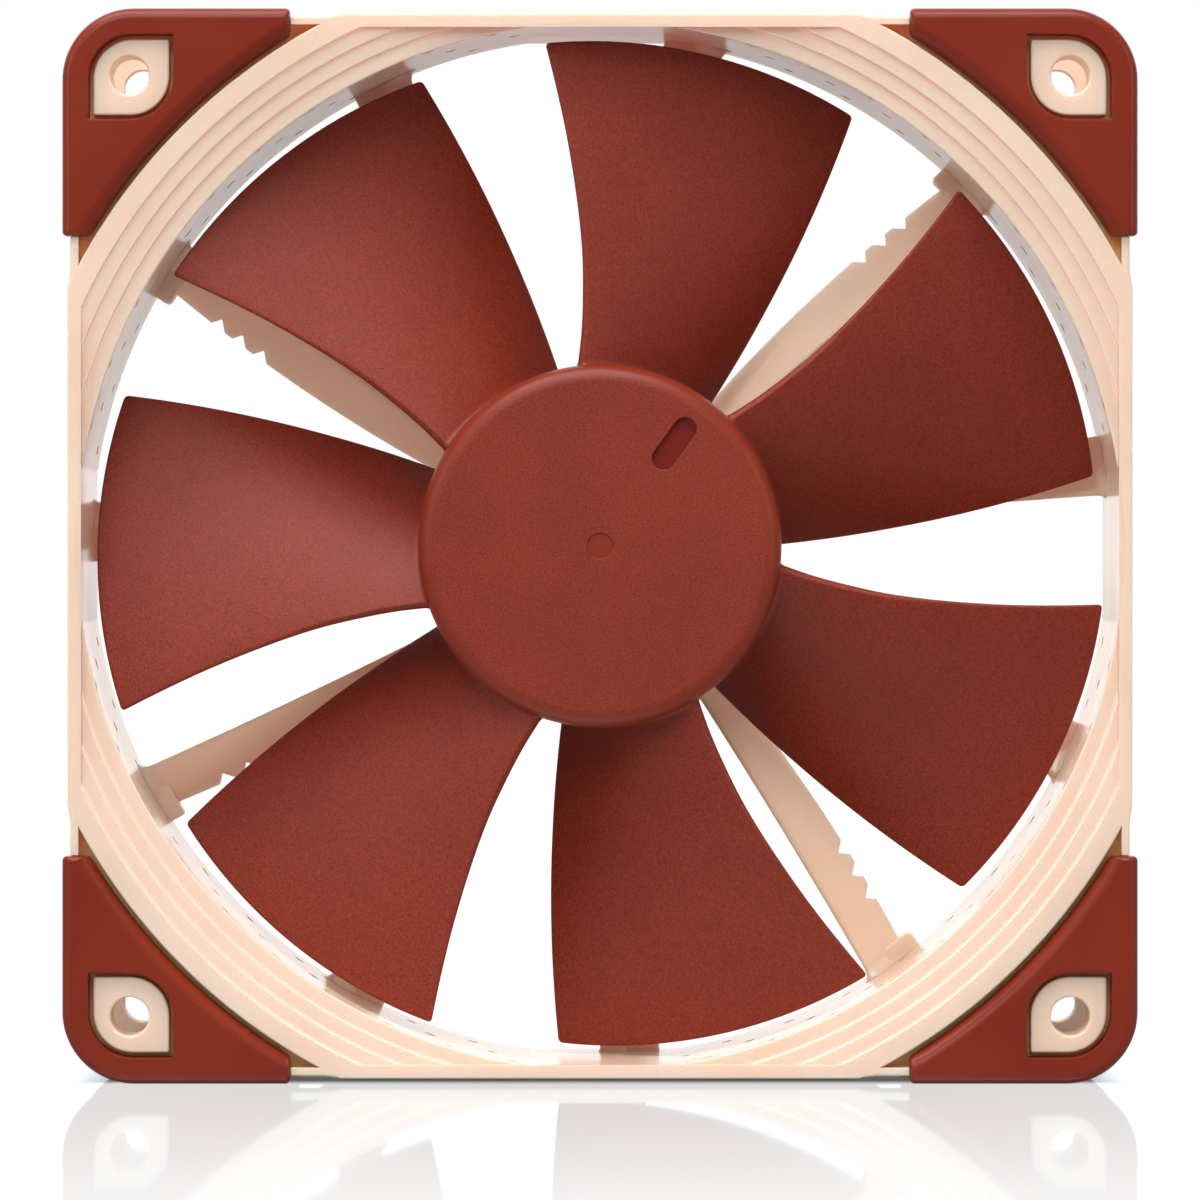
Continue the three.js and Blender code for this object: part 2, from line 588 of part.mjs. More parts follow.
/** The middle surface of the first blade; chord runs from the trailing to the leading edge. */
function bladeSurface(span, chord) {
  const { x: share, y: leadTurn } = LEADING_EDGE.getPoint(span);
  const radius = THREE.MathUtils.lerp(BLADE_ROOT_R, TIP_R, share);
  const back = 1 - chord;
  const ramp = back + BLADE_CAMBER * (back * back - back);
  const leadLevel = HUB_TOP - THREE.MathUtils.lerp(LEAD_ROOT_DROP, LEAD_TIP_DROP, share);
  const trailLevel = HUB_RIM + THREE.MathUtils.lerp(TRAIL_ROOT_LIFT, TRAIL_TIP_LIFT, share);
  const trailTurn = BLADE_TURN + BLADE_SWEEP * share;
  const full = THREE.MathUtils.lerp(BLADE_ROOT_THICKNESS, BLADE_TIP_THICKNESS, share);
  return {
    radius,
    turn: degrees(THREE.MathUtils.lerp(trailTurn, leadTurn, chord)),
    level: THREE.MathUtils.lerp(leadLevel, trailLevel, ramp),
    thickness: full * edgeTaper(chord, BLADE_EDGE),
  };
}

/** The hub's cup with its rounded front edge. */
function hubCup() {
  const inner = HUB_R - HUB_WALL;
  const points = [
    [inner, HUB_RIM],
    [HUB_R, HUB_RIM],
  ];
  const arcSteps = 4;
  for (let i = 0; i <= arcSteps; i++) {
    const turn = ((Math.PI / 2) * i) / arcSteps;
    const radius = HUB_R - HUB_ROUND + HUB_ROUND * Math.cos(turn);
    points.push([radius, HUB_TOP - HUB_ROUND + HUB_ROUND * Math.sin(turn)]);
  }
  points.push([0, HUB_TOP], [0, HUB_TOP - HUB_FACE], [inner, HUB_TOP - HUB_FACE], [inner, HUB_RIM]);
  return solidOf(turned(points, HUB_STEPS));
}

/** The round-ended recess and the gate's dimple in the hub's face. */
function hubMarks() {
  const slot = new THREE.Shape();
  slot.absarc(RECESS_OUT, 0, RECESS_R, -Math.PI / 2, Math.PI / 2);
  slot.absarc(RECESS_IN, 0, RECESS_R, Math.PI / 2, 1.5 * Math.PI);
  const recess = solidOf(prism(slot, HUB_TOP - RECESS_DEPTH, HUB_TOP + OVERCUT, 5));
  const gate = solidOf(rod(GATE_R, HUB_TOP - GATE_DEPTH, HUB_TOP + OVERCUT, SMALL_STEPS));
  return recess.rotate([0, 0, RECESS_TURN]).add(gate);
}

/** The hub and its blades, which are one moulding. */
function impeller() {
  const blade = solidOf(curvedSheet(7, 6, bladeSurface));
  const blades = Array.from({ length: BLADES }, (_, i) => blade.rotate([0, 0, (360 * i) / BLADES]));
  return hubCup().add(wasm.Manifold.union(blades)).subtract(hubMarks());
}

// ---- Rotor's inner pieces ----

/** The steel cup that carries the magnet and closes its field. */
function rotorYoke() {
  const hole = BOSS_R + FIT_GAP;
  const inner = YOKE_R - YOKE_WALL;
  const points = [
    [inner, YOKE_RIM],
    [YOKE_R, YOKE_RIM],
    [YOKE_R, YOKE_TOP],
    [hole, YOKE_TOP],
    [hole, YOKE_UNDER],
    [inner, YOKE_UNDER],
    [inner, YOKE_RIM],
  ];
  return turned(points, HUB_STEPS);
}

/** The flanged brass boss that holds the shaft in the hub. */
function shaftBoss() {
  const points = [
    [BOSS_BORE_R, BOSS_UNDER],
    [BOSS_R, BOSS_UNDER],
    [BOSS_R, BOSS_FLANGE_UNDER],
    [BOSS_R + BOSS_FLANGE, BOSS_FLANGE_UNDER],
    [BOSS_R + BOSS_FLANGE, BOSS_FLANGE_TOP],
    [BOSS_R, BOSS_FLANGE_TOP],
    [BOSS_R, YOKE_TOP],
    [BOSS_BORE_R, YOKE_TOP],
    [BOSS_BORE_R, BOSS_UNDER],
  ];
  return turned(points);
}

/** The shaft, with a rounded lower end and the groove for its washer. */
function shaft() {
  const grooveR = SHAFT_R - GROOVE_DEPTH;
  const grooveLow = WASHER_UNDER - FIT_GAP / 2;
  const grooveHigh = WASHER_UNDER + WASHER + FIT_GAP / 2;
  const points = [
    [0, SHAFT_BOTTOM],
    [SHAFT_R / 2, SHAFT_BOTTOM + 0.1 * SHAFT_R],
    [SHAFT_R, SHAFT_BOTTOM + 0.4 * SHAFT_R],
    [SHAFT_R, grooveLow],
    [grooveR, grooveLow],
    [grooveR, grooveHigh],
    [SHAFT_R, grooveHigh],
    [SHAFT_R, YOKE_TOP],
    [0, YOKE_TOP],
  ];
  return turned(points);
}

// ---- Bearing ----

/** The brass shell, closed at its rear end, that stands in the base's socket. */
function bearingShell() {
  const points = [
    [0, SHELL_BOTTOM],
    [SHELL_R, SHELL_BOTTOM],
    [SHELL_R, SHELL_TOP],
    [SHELL_BORE_R, SHELL_TOP],
    [SHELL_BORE_R, SHELL_BOTTOM + SHELL_FLOOR],
    [0, SHELL_BOTTOM + SHELL_FLOOR],
  ];
  return turned(points);
}

// ---- Stator ----

/** One pole in the plane across the axis: an arm along +X that ends in a curved shoe. */
function poleOutline() {
  const half = degrees(POLE_SHOE_TURN / 2);
  const arm = POLE_ARM / 2;
  const armTurn = Math.asin(arm / SHOE_IN_R);
  const root = CORE_BORE_R + CORE_RING / 2;
  const shape = new THREE.Shape();
  shape.moveTo(root, -arm);
  shape.lineTo(SHOE_IN_R * Math.cos(armTurn), -arm);
  shape.absarc(0, 0, SHOE_IN_R, -armTurn, -half, true);
  shape.absarc(0, 0, CORE_R, -half, half, false);
  shape.absarc(0, 0, SHOE_IN_R, half, armTurn, true);
  shape.lineTo(root, arm);
  shape.closePath();
  return shape;
}

/** The stack of steel laminations, joined into one core. */
function statorCore() {
  const middle = solidOf(ring(CORE_BORE_R, CORE_RING_R, CORE_UNDER, CORE_TOP));
  const pole = solidOf(prism(poleOutline(), CORE_UNDER, CORE_TOP, 4));
  const poles = Array.from({ length: POLES }, (_, i) => pole.rotate([0, 0, (360 * i) / POLES]));
  return middle.add(wasm.Manifold.union(poles));
}

/** A nylon spider that keeps the wire off one face of the core. */
function insulator(low) {
  const high = low + INSULATOR;
  const middle = solidOf(ring(CORE_BORE_R, CORE_RING_R, low, high));
  const armIn = CORE_BORE_R + CORE_RING / 2;
  const arm = solidOf(block((armIn + COIL_OUT_R) / 2, 0, low, high, COIL_OUT_R - armIn, POLE_ARM));
  const arms = Array.from({ length: POLES }, (_, i) => arm.rotate([0, 0, (360 * i) / POLES]));
  return middle.add(wasm.Manifold.union(arms));
}

/** A rectangle in the plane across the axis. */
function rectangle(halfWidth, low, high, PathType = THREE.Shape) {
  const path = new PathType();
  path.moveTo(-halfWidth, low);
  path.lineTo(halfWidth, low);
  path.lineTo(halfWidth, high);
  path.lineTo(-halfWidth, high);
  path.closePath();
  return path;
}

/** The wire wound round the pole on +X. */
function coil() {
  const holeHalf = POLE_ARM / 2 + FIT_GAP;
  const outline = rectangle(COIL_HALF_WIDTH, COIL_UNDER, COIL_TOP);
  const holeLow = INSULATOR_UNDER - FIT_GAP;
  const holeHigh = INSULATOR_TOP + FIT_GAP;
  outline.holes.push(rectangle(holeHalf, holeLow, holeHigh, THREE.Path));
  const wound = prism(outline, COIL_IN_R, COIL_OUT_R, 1);
  return wound.rotateX(Math.PI / 2).rotateZ(Math.PI / 2);
}

/** The round circuit board with its hole for the bearing's socket. */
function circuitBoard() {
  return ring(BOARD_HOLE_R, BOARD_R, BOARD_UNDER, BOARD_TOP, HUB_STEPS);
}

/** A part soldered on the board: a block whose middle stands at the given radius. */
function boardPart({ width, length, height }) {
  return new THREE.BoxGeometry(length, width, height);
}

// ---- Assembly ----

const fan = new THREE.Group();
const stationary = new THREE.Group();
const rotor = new THREE.Group();
fan.add(stationary, rotor);

/** Adds a named mesh with a material of its own. */
function place(group, name, geometry, look) {
  const mesh = new THREE.Mesh(geometry, new THREE.MeshStandardMaterial(look));
  mesh.name = name;
  group.add(mesh);
  return mesh;
}

place(stationary, "frame", geometryOf(frame()), beigePlastic);

const frontCorners = new THREE.Group();
const rearCorners = new THREE.Group();
rearCorners.rotation.x = Math.PI;
stationary.add(frontCorners, rearCorners);
const CORNERS = ["top_right", "top_left", "bottom_left", "bottom_right"];
CORNERS.forEach((corner, i) => {
  const pad = place(frontCorners, `front_pad_${corner}`, cornerPad(FRONT_PAD), brownSilicone);
  pad.rotation.z = (i * Math.PI) / 2;
});
const REAR_CORNERS = ["bottom_right", "bottom_left", "top_left", "top_right"];
REAR_CORNERS.forEach((corner, i) => {
  const pad = place(rearCorners, `rear_pad_${corner}`, cornerPad(REAR_PAD), brownSilicone);
  pad.rotation.z = (i * Math.PI) / 2;
});

place(rotor, "impeller", geometryOf(impeller()), brownPlastic);
place(rotor, "rotor_yoke", rotorYoke(), steel);
const magnetOut = MAGNET_R;
const magnetIn = MAGNET_R - MAGNET_WALL;
place(rotor, "rotor_magnet", ring(magnetIn, magnetOut, MAGNET_RIM, MAGNET_TOP, HUB_STEPS), ferrite);
place(rotor, "shaft_boss", shaftBoss(), brass);
place(rotor, "shaft", shaft(), steel);

place(stationary, "bearing_shell", bearingShell(), brass);
place(stationary, "thrust_pad", rod(SLEEVE_R, THRUST_UNDER, THRUST_UNDER + THRUST_PAD), nylon);
const axialMagnetTop = SHAFT_BOTTOM + AXIAL_MAGNET;
const axialMagnet = ring(SHAFT_R + FIT_GAP, SLEEVE_R, SHAFT_BOTTOM, axialMagnetTop);
place(stationary, "stabilising_magnet", axialMagnet, ferrite);
const washerBore = SHAFT_R - GROOVE_DEPTH / 2;
const washer = ring(washerBore, SLEEVE_R, WASHER_UNDER, WASHER_UNDER + WASHER);
place(stationary, "retaining_washer", washer, nylon);
place(stationary, "bearing_sleeve", ring(SLEEVE_BORE_R, SLEEVE_R, SLEEVE_BOTTOM, SLEEVE_TOP), bronze);
const seal = ring(SHAFT_R + FIT_GAP / 2, SLEEVE_R, SEAL_UNDER, SEAL_UNDER + SEAL);
place(stationary, "oil_seal", seal, nylon);

place(stationary, "stator_core", geometryOf(statorCore()), siliconSteel);
place(stationary, "front_insulator", geometryOf(insulator(INSULATOR_TOP - INSULATOR)), nylon);
place(stationary, "rear_insulator", geometryOf(insulator(INSULATOR_UNDER)), nylon);
for (let i = 0; i < POLES; i++) {
  const winding = place(stationary, `coil_${i + 1}`, coil(), copper);
  winding.rotation.z = (2 * Math.PI * i) / POLES;
}

place(stationary, "circuit_board", circuitBoard(), boardLaminate);

/** Stands a soldered part on the board at a radius and a turn. */
function solder(name, size, look, radius = BOARD_MIDDLE_R, turn = size.turn) {
  const part = place(stationary, name, boardPart(size), look);
  const angle = degrees(turn);
  const level = PARTS_UNDER + size.height / 2;
  part.position.set(radius * Math.cos(angle), radius * Math.sin(angle), level);
  part.rotation.z = angle;
}

solder("driver_chip", CHIP, epoxy);
solder("hall_sensor", HALL_SENSOR, epoxy, MAGNET_R - MAGNET_WALL / 2);
solder("smoothing_capacitor", CAPACITOR, ceramic);
RESISTOR_TURNS.forEach((turn, i) => {
  solder(`resistor_${i + 1}`, RESISTOR, epoxy, BOARD_MIDDLE_R, turn);
});

const labelR = HUB_R - LABEL_MARGIN - FIT_GAP;
place(stationary, "rear_label", rod(labelR, BASE_REAR, BASE_REAR + LABEL_THICKNESS, HUB_STEPS), labelFilm);

fan.rotation.x = Math.PI / 2;

export default fan;
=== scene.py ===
# %% [markdown]
# # A 120 mm case fan, piece by piece
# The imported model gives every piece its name, its body and its place. Here the pieces that can be
# seen are modelled again with the soft edges, fillets and fine marks that moulding leaves, and
# each gets a finish that is worked out from what the real material is. The pieces inside the
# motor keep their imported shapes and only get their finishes.

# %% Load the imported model
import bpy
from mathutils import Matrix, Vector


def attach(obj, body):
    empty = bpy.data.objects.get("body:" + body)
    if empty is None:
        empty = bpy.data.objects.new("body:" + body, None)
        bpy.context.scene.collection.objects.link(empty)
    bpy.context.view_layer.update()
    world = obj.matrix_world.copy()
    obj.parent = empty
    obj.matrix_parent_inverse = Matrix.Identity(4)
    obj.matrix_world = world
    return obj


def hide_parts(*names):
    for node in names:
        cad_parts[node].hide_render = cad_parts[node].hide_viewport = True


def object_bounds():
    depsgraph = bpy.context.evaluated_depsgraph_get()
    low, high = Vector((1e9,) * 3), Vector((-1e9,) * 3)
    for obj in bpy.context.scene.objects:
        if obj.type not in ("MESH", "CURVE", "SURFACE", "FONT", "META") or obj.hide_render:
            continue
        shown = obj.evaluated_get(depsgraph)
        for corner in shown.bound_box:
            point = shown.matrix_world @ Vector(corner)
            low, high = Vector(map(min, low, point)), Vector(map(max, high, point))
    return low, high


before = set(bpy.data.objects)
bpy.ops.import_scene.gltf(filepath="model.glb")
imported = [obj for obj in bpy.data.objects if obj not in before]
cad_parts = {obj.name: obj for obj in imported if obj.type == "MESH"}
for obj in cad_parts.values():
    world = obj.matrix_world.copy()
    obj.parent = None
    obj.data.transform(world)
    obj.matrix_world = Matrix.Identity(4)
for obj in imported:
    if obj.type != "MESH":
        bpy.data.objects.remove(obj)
cad_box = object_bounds()
print("box in mm:", [[round(1000 * x, 2) for x in corner] for corner in cad_box])

# %% What the steps below are made with
import math

import bpy
from mathutils import Matrix, Vector

MM = 0.001

# %% [markdown]
# ## Camera
# The fan stands upright with its intake towards the viewer. A long lens, a metre or less away,
# keeps the square frame square, and the camera looks level at the fan's middle. The picture is
# moved down a little with the lens shift, as a view camera does, so the uprights stay parallel.

# %% Camera
camera_data = bpy.data.cameras.new("camera")
camera_data.sensor_width = 36
camera_data.lens = 188.5
camera_data.shift_y = -0.045
camera = bpy.data.objects.new("camera", camera_data)
camera.location = (0, -0.7125, 0)
camera.rotation_euler = (math.radians(90), 0, 0)
bpy.context.scene.collection.objects.link(camera)
bpy.context.scene.camera = camera
bpy.context.scene.view_settings.view_transform = "Standard"
print("camera", round(-camera.location.y * 1000), "mm in front of the fan's middle")

# %% [markdown]
# ## How a material is written down
# Colours are picked as on a paint chart, in sRGB hex, and the renderer works in linear light, so
# one function turns them. Another adds a node with its settings and links: everything below is
# built with that one function, so a material reads as a list of what it is made of.

# %% Colour and node helpers
def linear(hex_colour):
    """An sRGB hex colour as linear RGBA."""
    channels = [int(hex_colour[i : i + 2], 16) / 255 for i in (1, 3, 5)]
    return [c / 12.92 if c <= 0.04045 else ((c + 0.055) / 1.055) ** 2.4 for c in channels] + [1]


def add(tree, kind, settings=None, inputs=None):
    """Adds a node, sets its settings, and gives each input a value or a link."""
    made = tree.nodes.new(kind)
    for name, value in (settings or {}).items():
        setattr(made, name, value)
    for name, value in (inputs or {}).items():
        socket = made.inputs[name]
        if isinstance(value, bpy.types.NodeSocket):
            tree.links.new(value, socket)
        else:
            socket.default_value = value
    return made


def new_material(name):
    """An empty material and its node tree."""
    material = bpy.data.materials.new(name)
    material.use_nodes = True
    material.node_tree.nodes.clear()
    return material, material.node_tree


def calculate(tree, operation, a, b=0.0):
    return add(tree, "ShaderNodeMath", {"operation": operation}, {0: a, 1: b}).outputs[0]


def ramp_between(tree, value, low, high, first=0.0, last=1.0):
    """A value that goes softly from first to last as another goes from low to high."""
    span = {"Value": value, "From Min": low, "From Max": high, "To Min": first, "To Max": last}
    return add(tree, "ShaderNodeMapRange", {"interpolation_type": "SMOOTHSTEP"}, span).outputs[0]


def per_mm(size):
    """A texture's scale, in metres, for a pattern of this size in millimetres."""
    return 1000 / size


WHITE = (1, 1, 1, 1)
print("#808080 is", round(linear("#808080")[0], 3), "in linear light")


# %% [markdown]
# ## Studio
# The fan stands on a white acrylic light table in a white room. The acrylic glows a little and
# has a soft gloss, so the fan is mirrored at its foot. The gloss is strongest near the fan and
# fades with the distance from it. Under the fan the glow is turned down: a painted shadow. The
# room is a soft even light, with one large softbox overhead, which draws the highlights along
# the upper edges, and weaker panels at the sides and behind.

# %% The room's soft light
ROOM_DARK, ROOM_BEHIND, ROOM_ABOVE = 0.3, 0.5, 0.3
world = bpy.data.worlds.new("white_room")
bpy.context.scene.world = world
world.use_nodes = True
tree = world.node_tree
tree.nodes.clear()
path = add(tree, "ShaderNodeLightPath")
way = add(tree, "ShaderNodeTexCoord")
parts = add(tree, "ShaderNodeSeparateXYZ", inputs={0: way.outputs["Generated"]})
behind = ramp_between(tree, parts.outputs["Y"], -0.2, 0.9, 0.0, ROOM_BEHIND)
above = ramp_between(tree, parts.outputs["Z"], 0.1, 1.0, 0.0, ROOM_ABOVE)
room = calculate(tree, "ADD", calculate(tree, "ADD", behind, above), ROOM_DARK)
seen = add(tree, "ShaderNodeBackground", inputs={"Color": WHITE, "Strength": 1.0})
felt = add(tree, "ShaderNodeBackground", inputs={"Color": WHITE, "Strength": room})
either = add(
    tree,
    "ShaderNodeMixShader",
    inputs={0: path.outputs["Is Camera Ray"], 1: felt.outputs[0], 2: seen.outputs[0]},
)
add(tree, "ShaderNodeOutputWorld", inputs={"Surface": either.outputs[0]})
print("room light from", ROOM_DARK, "in front to", ROOM_DARK + ROOM_BEHIND, "behind")

# %% The acrylic floor
FLOOR_GLOW = 1.07  # what the camera sees
FLOOR_LIGHT = 0.4  # what the fan gets
PAINTED_SHADOW_UNDER_FAN = 0.12  # the share of the glow that is left under the fan
GLOSS_NEAR, GLOSS_FAR = 0.4, 0.08
bpy.ops.mesh.primitive_plane_add(size=16, location=(0, 0, cad_box[0].z))
floor = bpy.context.object
floor.name = "floor"
bpy.ops.object.transform_apply(location=True)
material, tree = new_material("white_acrylic_light_table")
place = add(tree, "ShaderNodeTexCoord")
far = add(tree, "ShaderNodeVectorMath", {"operation": "LENGTH"}, {0: place.outputs["Object"]})
fade = ramp_between(tree, far.outputs["Value"], 0.03, 0.22, GLOSS_NEAR, GLOSS_FAR)
path = add(tree, "ShaderNodeLightPath")
bright = ramp_between(tree, path.outputs["Is Camera Ray"], 0, 1, FLOOR_LIGHT, FLOOR_GLOW)
parts = add(tree, "ShaderNodeSeparateXYZ", inputs={0: place.outputs["Object"]})
# Painted shadow: under the fan's footprint the floor's glow falls to a small share.
beside = []
for side, half in (("X", cad_box[1].x), ("Y", cad_box[1].y)):
    out = calculate(tree, "ABSOLUTE", parts.outputs[side])
    beside.append(ramp_between(tree, out, half - 6 * MM, half + 0.3 * MM, PAINTED_SHADOW_UNDER_FAN, 1))
glow_with_painted_shadow = calculate(tree, "MULTIPLY", bright, calculate(tree, "MAXIMUM", *beside))
glow = add(tree, "ShaderNodeEmission", inputs={"Color": WHITE, "Strength": glow_with_painted_shadow})
gloss = {"Color": linear("#E4F4FF"), "Roughness": 0.05}
gloss = add(tree, "ShaderNodeBsdfGlossy", inputs=gloss)
both = add(
    tree, "ShaderNodeMixShader", inputs={0: fade, 1: glow.outputs[0], 2: gloss.outputs[0]}
)
add(tree, "ShaderNodeOutputMaterial", inputs={"Surface": both.outputs[0]})
floor.data.materials.append(material)
print("floor at", round(1000 * cad_box[0].z, 2), "mm")

# %% The softboxes
SOFTBOXES = {  # where in metres, width, height, watts
    "overhead": ((-0.12, -0.28, 0.80), 0.9, 0.5, 7.6),
    "front_high": ((-0.15, -0.90, 0.60), 0.6, 0.5, 3.8),
    "left": ((-0.90, -0.55, 0.30), 0.5, 0.7, 1.9),
    "right": ((0.90, -0.55, 0.25), 0.5, 0.7, 1.5),
    "behind": ((0.0, 0.95, 0.45), 1.4, 1.2, 3.0),
}
for name, (spot, width, height, watts) in SOFTBOXES.items():
    light = bpy.data.lights.new("softbox_" + name, "AREA")
    light.shape = "RECTANGLE"
    light.size, light.size_y = width, height
    light.energy = watts
    box = bpy.data.objects.new("softbox_" + name, light)
    box.location = spot
    box.rotation_euler = (-Vector(spot)).to_track_quat("-Z", "Y").to_euler()
    box.visible_camera = False
    bpy.context.scene.collection.objects.link(box)
    print("softbox", name, watts, "W")

# %% [markdown]
# ## Beige frame plastic
# The frame is glass-filled PBT, injection moulded in a mould with a fine satin finish. It is
# matte at a glance and glossy at a shallow angle, which is why the bore's wall shows the white
# room. PBT lets a little light in, so its shader scatters some light under the surface. The colour
# drifts slightly over a centimetre or so where the melt flowed, and the mould's finish is a grain
# of about 0.3 mm. The air side is polished. Light and shade are also painted into the colour: a
# painted warm glow on the pockets beside the pads and on the vanes deep in the bore, painted
# light at the foot of each terrace, and painted shade in the dimples of the bore.

# %% Beige PBT
def from_axis(tree, place):
    """How far a point is from the fan's axis, and its place along the axis, in metres."""
    parts = add(tree, "ShaderNodeSeparateXYZ", inputs={0: place.outputs["Object"]})
    flat = {"X": parts.outputs["X"], "Y": parts.outputs["Z"]}
    flat = add(tree, "ShaderNodeCombineXYZ", inputs=flat)
    away = add(tree, "ShaderNodeVectorMath", {"operation": "LENGTH"}, {0: flat.outputs[0]})
    return away.outputs["Value"], parts.outputs["Y"]


DRIFT_MM = 14  # the size of the soft patches of colour


def moulded(name, colour, light_shade, dark_shade, grain, finish, polished=None, painted_light_tints=()):
    """A moulded plastic: drifting colour, fine grain and a slightly uneven gloss.
    grain is its size in mm, its depth in mm and its share in the colour.
    polished(tree, place) gives 1 where the mould is polished and 0 where it is grained.
    Each of painted_light_tints is a colour painted in for light or shade, and a function
    like polished: 1 where it is painted."""
    material, tree = new_material(name)
    place = add(tree, "ShaderNodeTexCoord")
    polish = polished(tree, place) if polished else 0.0
    grained = calculate(tree, "SUBTRACT", 1.0, polish)
    spot = place.outputs["Object"]
    flow = {"Vector": spot, "Scale": per_mm(DRIFT_MM), "Detail": 2}
    drift = add(tree, "ShaderNodeTexNoise", inputs=flow)
    pebbles = {"Vector": spot, "Scale": per_mm(grain["size"]), "Detail": 3, "Roughness": 0.6}
    fine = add(tree, "ShaderNodeTexNoise", inputs=pebbles)
    drifting = add(tree, "ShaderNodeValToRGB", inputs={"Fac": drift.outputs["Fac"]})
    ramp = drifting.color_ramp
    ramp.elements[0].position, ramp.elements[0].color = 0.3, linear(dark_shade)
    ramp.elements[1].position, ramp.elements[1].color = 0.7, linear(light_shade)
    ramp.elements.new(0.5).color = linear(colour)
    span = {"From Min": 0.3, "From Max": 0.7, "To Min": -grain["share"], "To Max": grain["share"]}
    speck = add(tree, "ShaderNodeMapRange", inputs={"Value": fine.outputs["Fac"]} | span)
    speck = calculate(tree, "MULTIPLY", speck.outputs[0], grained)
    base = drifting.outputs["Color"]
    for shade, where in painted_light_tints:
        mixed = {0: where(tree, place), 6: base, 7: linear(shade)}
        base = add(tree, "ShaderNodeMix", {"data_type": "RGBA"}, mixed).outputs[2]
    speckled = {0: base, "Scale": calculate(tree, "ADD", speck, 1.0)}
    speckled = add(tree, "ShaderNodeVectorMath", {"operation": "SCALE"}, speckled)
    span = {"To Min": finish["roughness"] - 0.06, "To Max": finish["roughness"] + 0.06}
    uneven = add(tree, "ShaderNodeMapRange", inputs={"Value": fine.outputs["Fac"]} | span)
    shine = calculate(tree, "MULTIPLY", polish, finish.get("polish", 0.0))
    relief = {"Height": fine.outputs["Fac"], "Distance": grain["depth"] * MM}
    bump = add(tree, "ShaderNodeBump", inputs=relief | {"Strength": grained})
    shader = add(
        tree,
        "ShaderNodeBsdfPrincipled",
        inputs={
            "Base Color": speckled.outputs[0],
            "Roughness": calculate(tree, "SUBTRACT", uneven.outputs[0], shine),
            "Normal": bump.outputs["Normal"],
            "IOR": finish["ior"],
            "Specular IOR Level": finish["specular"],
            "Subsurface Weight": finish["subsurface"],
            "Subsurface Radius": finish["depth"],
            "Subsurface Scale": MM,
        },
    )
    add(tree, "ShaderNodeOutputMaterial", inputs={"Surface": shader.outputs[0]})
    return material


def inside_all(tree, limits):
    """1 inside all limits, 0 outside. Each is a value, where its edge starts and ends in mm, and
    what it starts with: 0 for a limit from below and 1 for a limit from above."""
    within = 1.0
    for value, low, high, first in limits:
        part = ramp_between(tree, value, low * MM, high * MM, first, 1 - first)
        within = calculate(tree, "MULTIPLY", part, within)
    return within


def bore_wall(tree, place):
    """The bore's wall, which a polished core shapes, and the vanes' ends beside it."""
    away, _ = from_axis(tree, place)
    return inside_all(tree, ((away, 55.0, 57.5, 0), (away, 58.55, 58.6, 1)))


BORE_R = 58.5
TERRACE_WIDTH = 1.72


def widest_of(tree, place):
    """How far a point is from the frame's middle planes, whichever way is farther."""
    spot = place.outputs["Object"]
    sides = add(tree, "ShaderNodeVectorMath", {"operation": "ABSOLUTE"}, {0: spot})
    sides = add(tree, "ShaderNodeSeparateXYZ", inputs={0: sides.outputs[0]})
    return calculate(tree, "MAXIMUM", sides.outputs["X"], sides.outputs["Z"])


def painted_glow_in_pockets(tree, place):
    """The floors of the pockets beside the front pads, where a warm glow is painted."""
    away, along = from_axis(tree, place)
    widest = widest_of(tree, place)
    floors = ((along, -10.6, -9.4, 0), (along, -9.0, -8.9, 1))
    return inside_all(tree, floors + ((away, 66.0, 66.3, 0), (widest, 58.2, 58.3, 1)))


def painted_light_at_terrace_feet(tree, place):
    """The foot of each of the intake's terraces, where a paler colour is painted as light over the
    step's shade.
    """
    away, along = from_axis(tree, place)
    outwards = calculate(tree, "SUBTRACT", away, BORE_R * MM)
    steps = calculate(tree, "DIVIDE", outwards, TERRACE_WIDTH * MM)
    foot = ramp_between(tree, calculate(tree, "PINGPONG", steps, 0.5), 0.05, 0.16, 0.9, 0)
    foot = calculate(tree, "MULTIPLY", foot, ramp_between(tree, steps, 3.3, 3.5, 1, 0))
    front = (along, -10.0, -9.8, 1)
    between_walls = (widest_of(tree, place), 57.8, 57.9, 1)
    return calculate(tree, "MULTIPLY", foot, inside_all(tree, (front, between_walls)))


def painted_shade_in_dimples(tree, place):
    """The bottoms of the dimples in the bore's wall, where a dark painted shade goes."""
    away, along = from_axis(tree, place)
    deep = ((away, BORE_R + 0.04, BORE_R + 0.1, 0), (away, 59.2, 59.3, 1))
    return inside_all(tree, deep + ((along, -10.2, -10.1, 0), (along, 7.2, 7.3, 1)))


def painted_glow_on_vanes(tree, place):
    """The vanes, deep in the bore, where a paler colour is painted as a glow of the light from
    behind.
    """
    away, along = from_axis(tree, place)
    return inside_all(tree, ((along, 0.0, 3.0, 0), (away, 58.4, 58.5, 1)))


beige_pbt = moulded(
    "glass_filled_pbt_beige",
    "#EBCDB8",
    "#EDD0BC",
    "#E8C9B2",
    {"size": 0.3, "depth": 0.006, "share": 0.012},
    {
        "roughness": 0.42,
        "polish": 0.2,
        "ior": 1.5,
        "specular": 0.5,
        "subsurface": 0.6,
        "depth": (2.6, 1.1, 0.6),
    },
    bore_wall,
    (
        # painted glow: the pocket floors are coloured a light warm orange
        ("#FFCB85", painted_glow_in_pockets),
        # painted light: the terrace feet are coloured paler, against their shade
        ("#FFD9C6", painted_light_at_terrace_feet),
        # painted shade: the dimples are coloured dark brown
        ("#A86C48", painted_shade_in_dimples),
        # painted glow: the deep vanes are coloured paler, as if lit from behind
        ("#F1D6BE", painted_glow_on_vanes),
    ),
)
print("beige PBT, grain 0.3 mm")

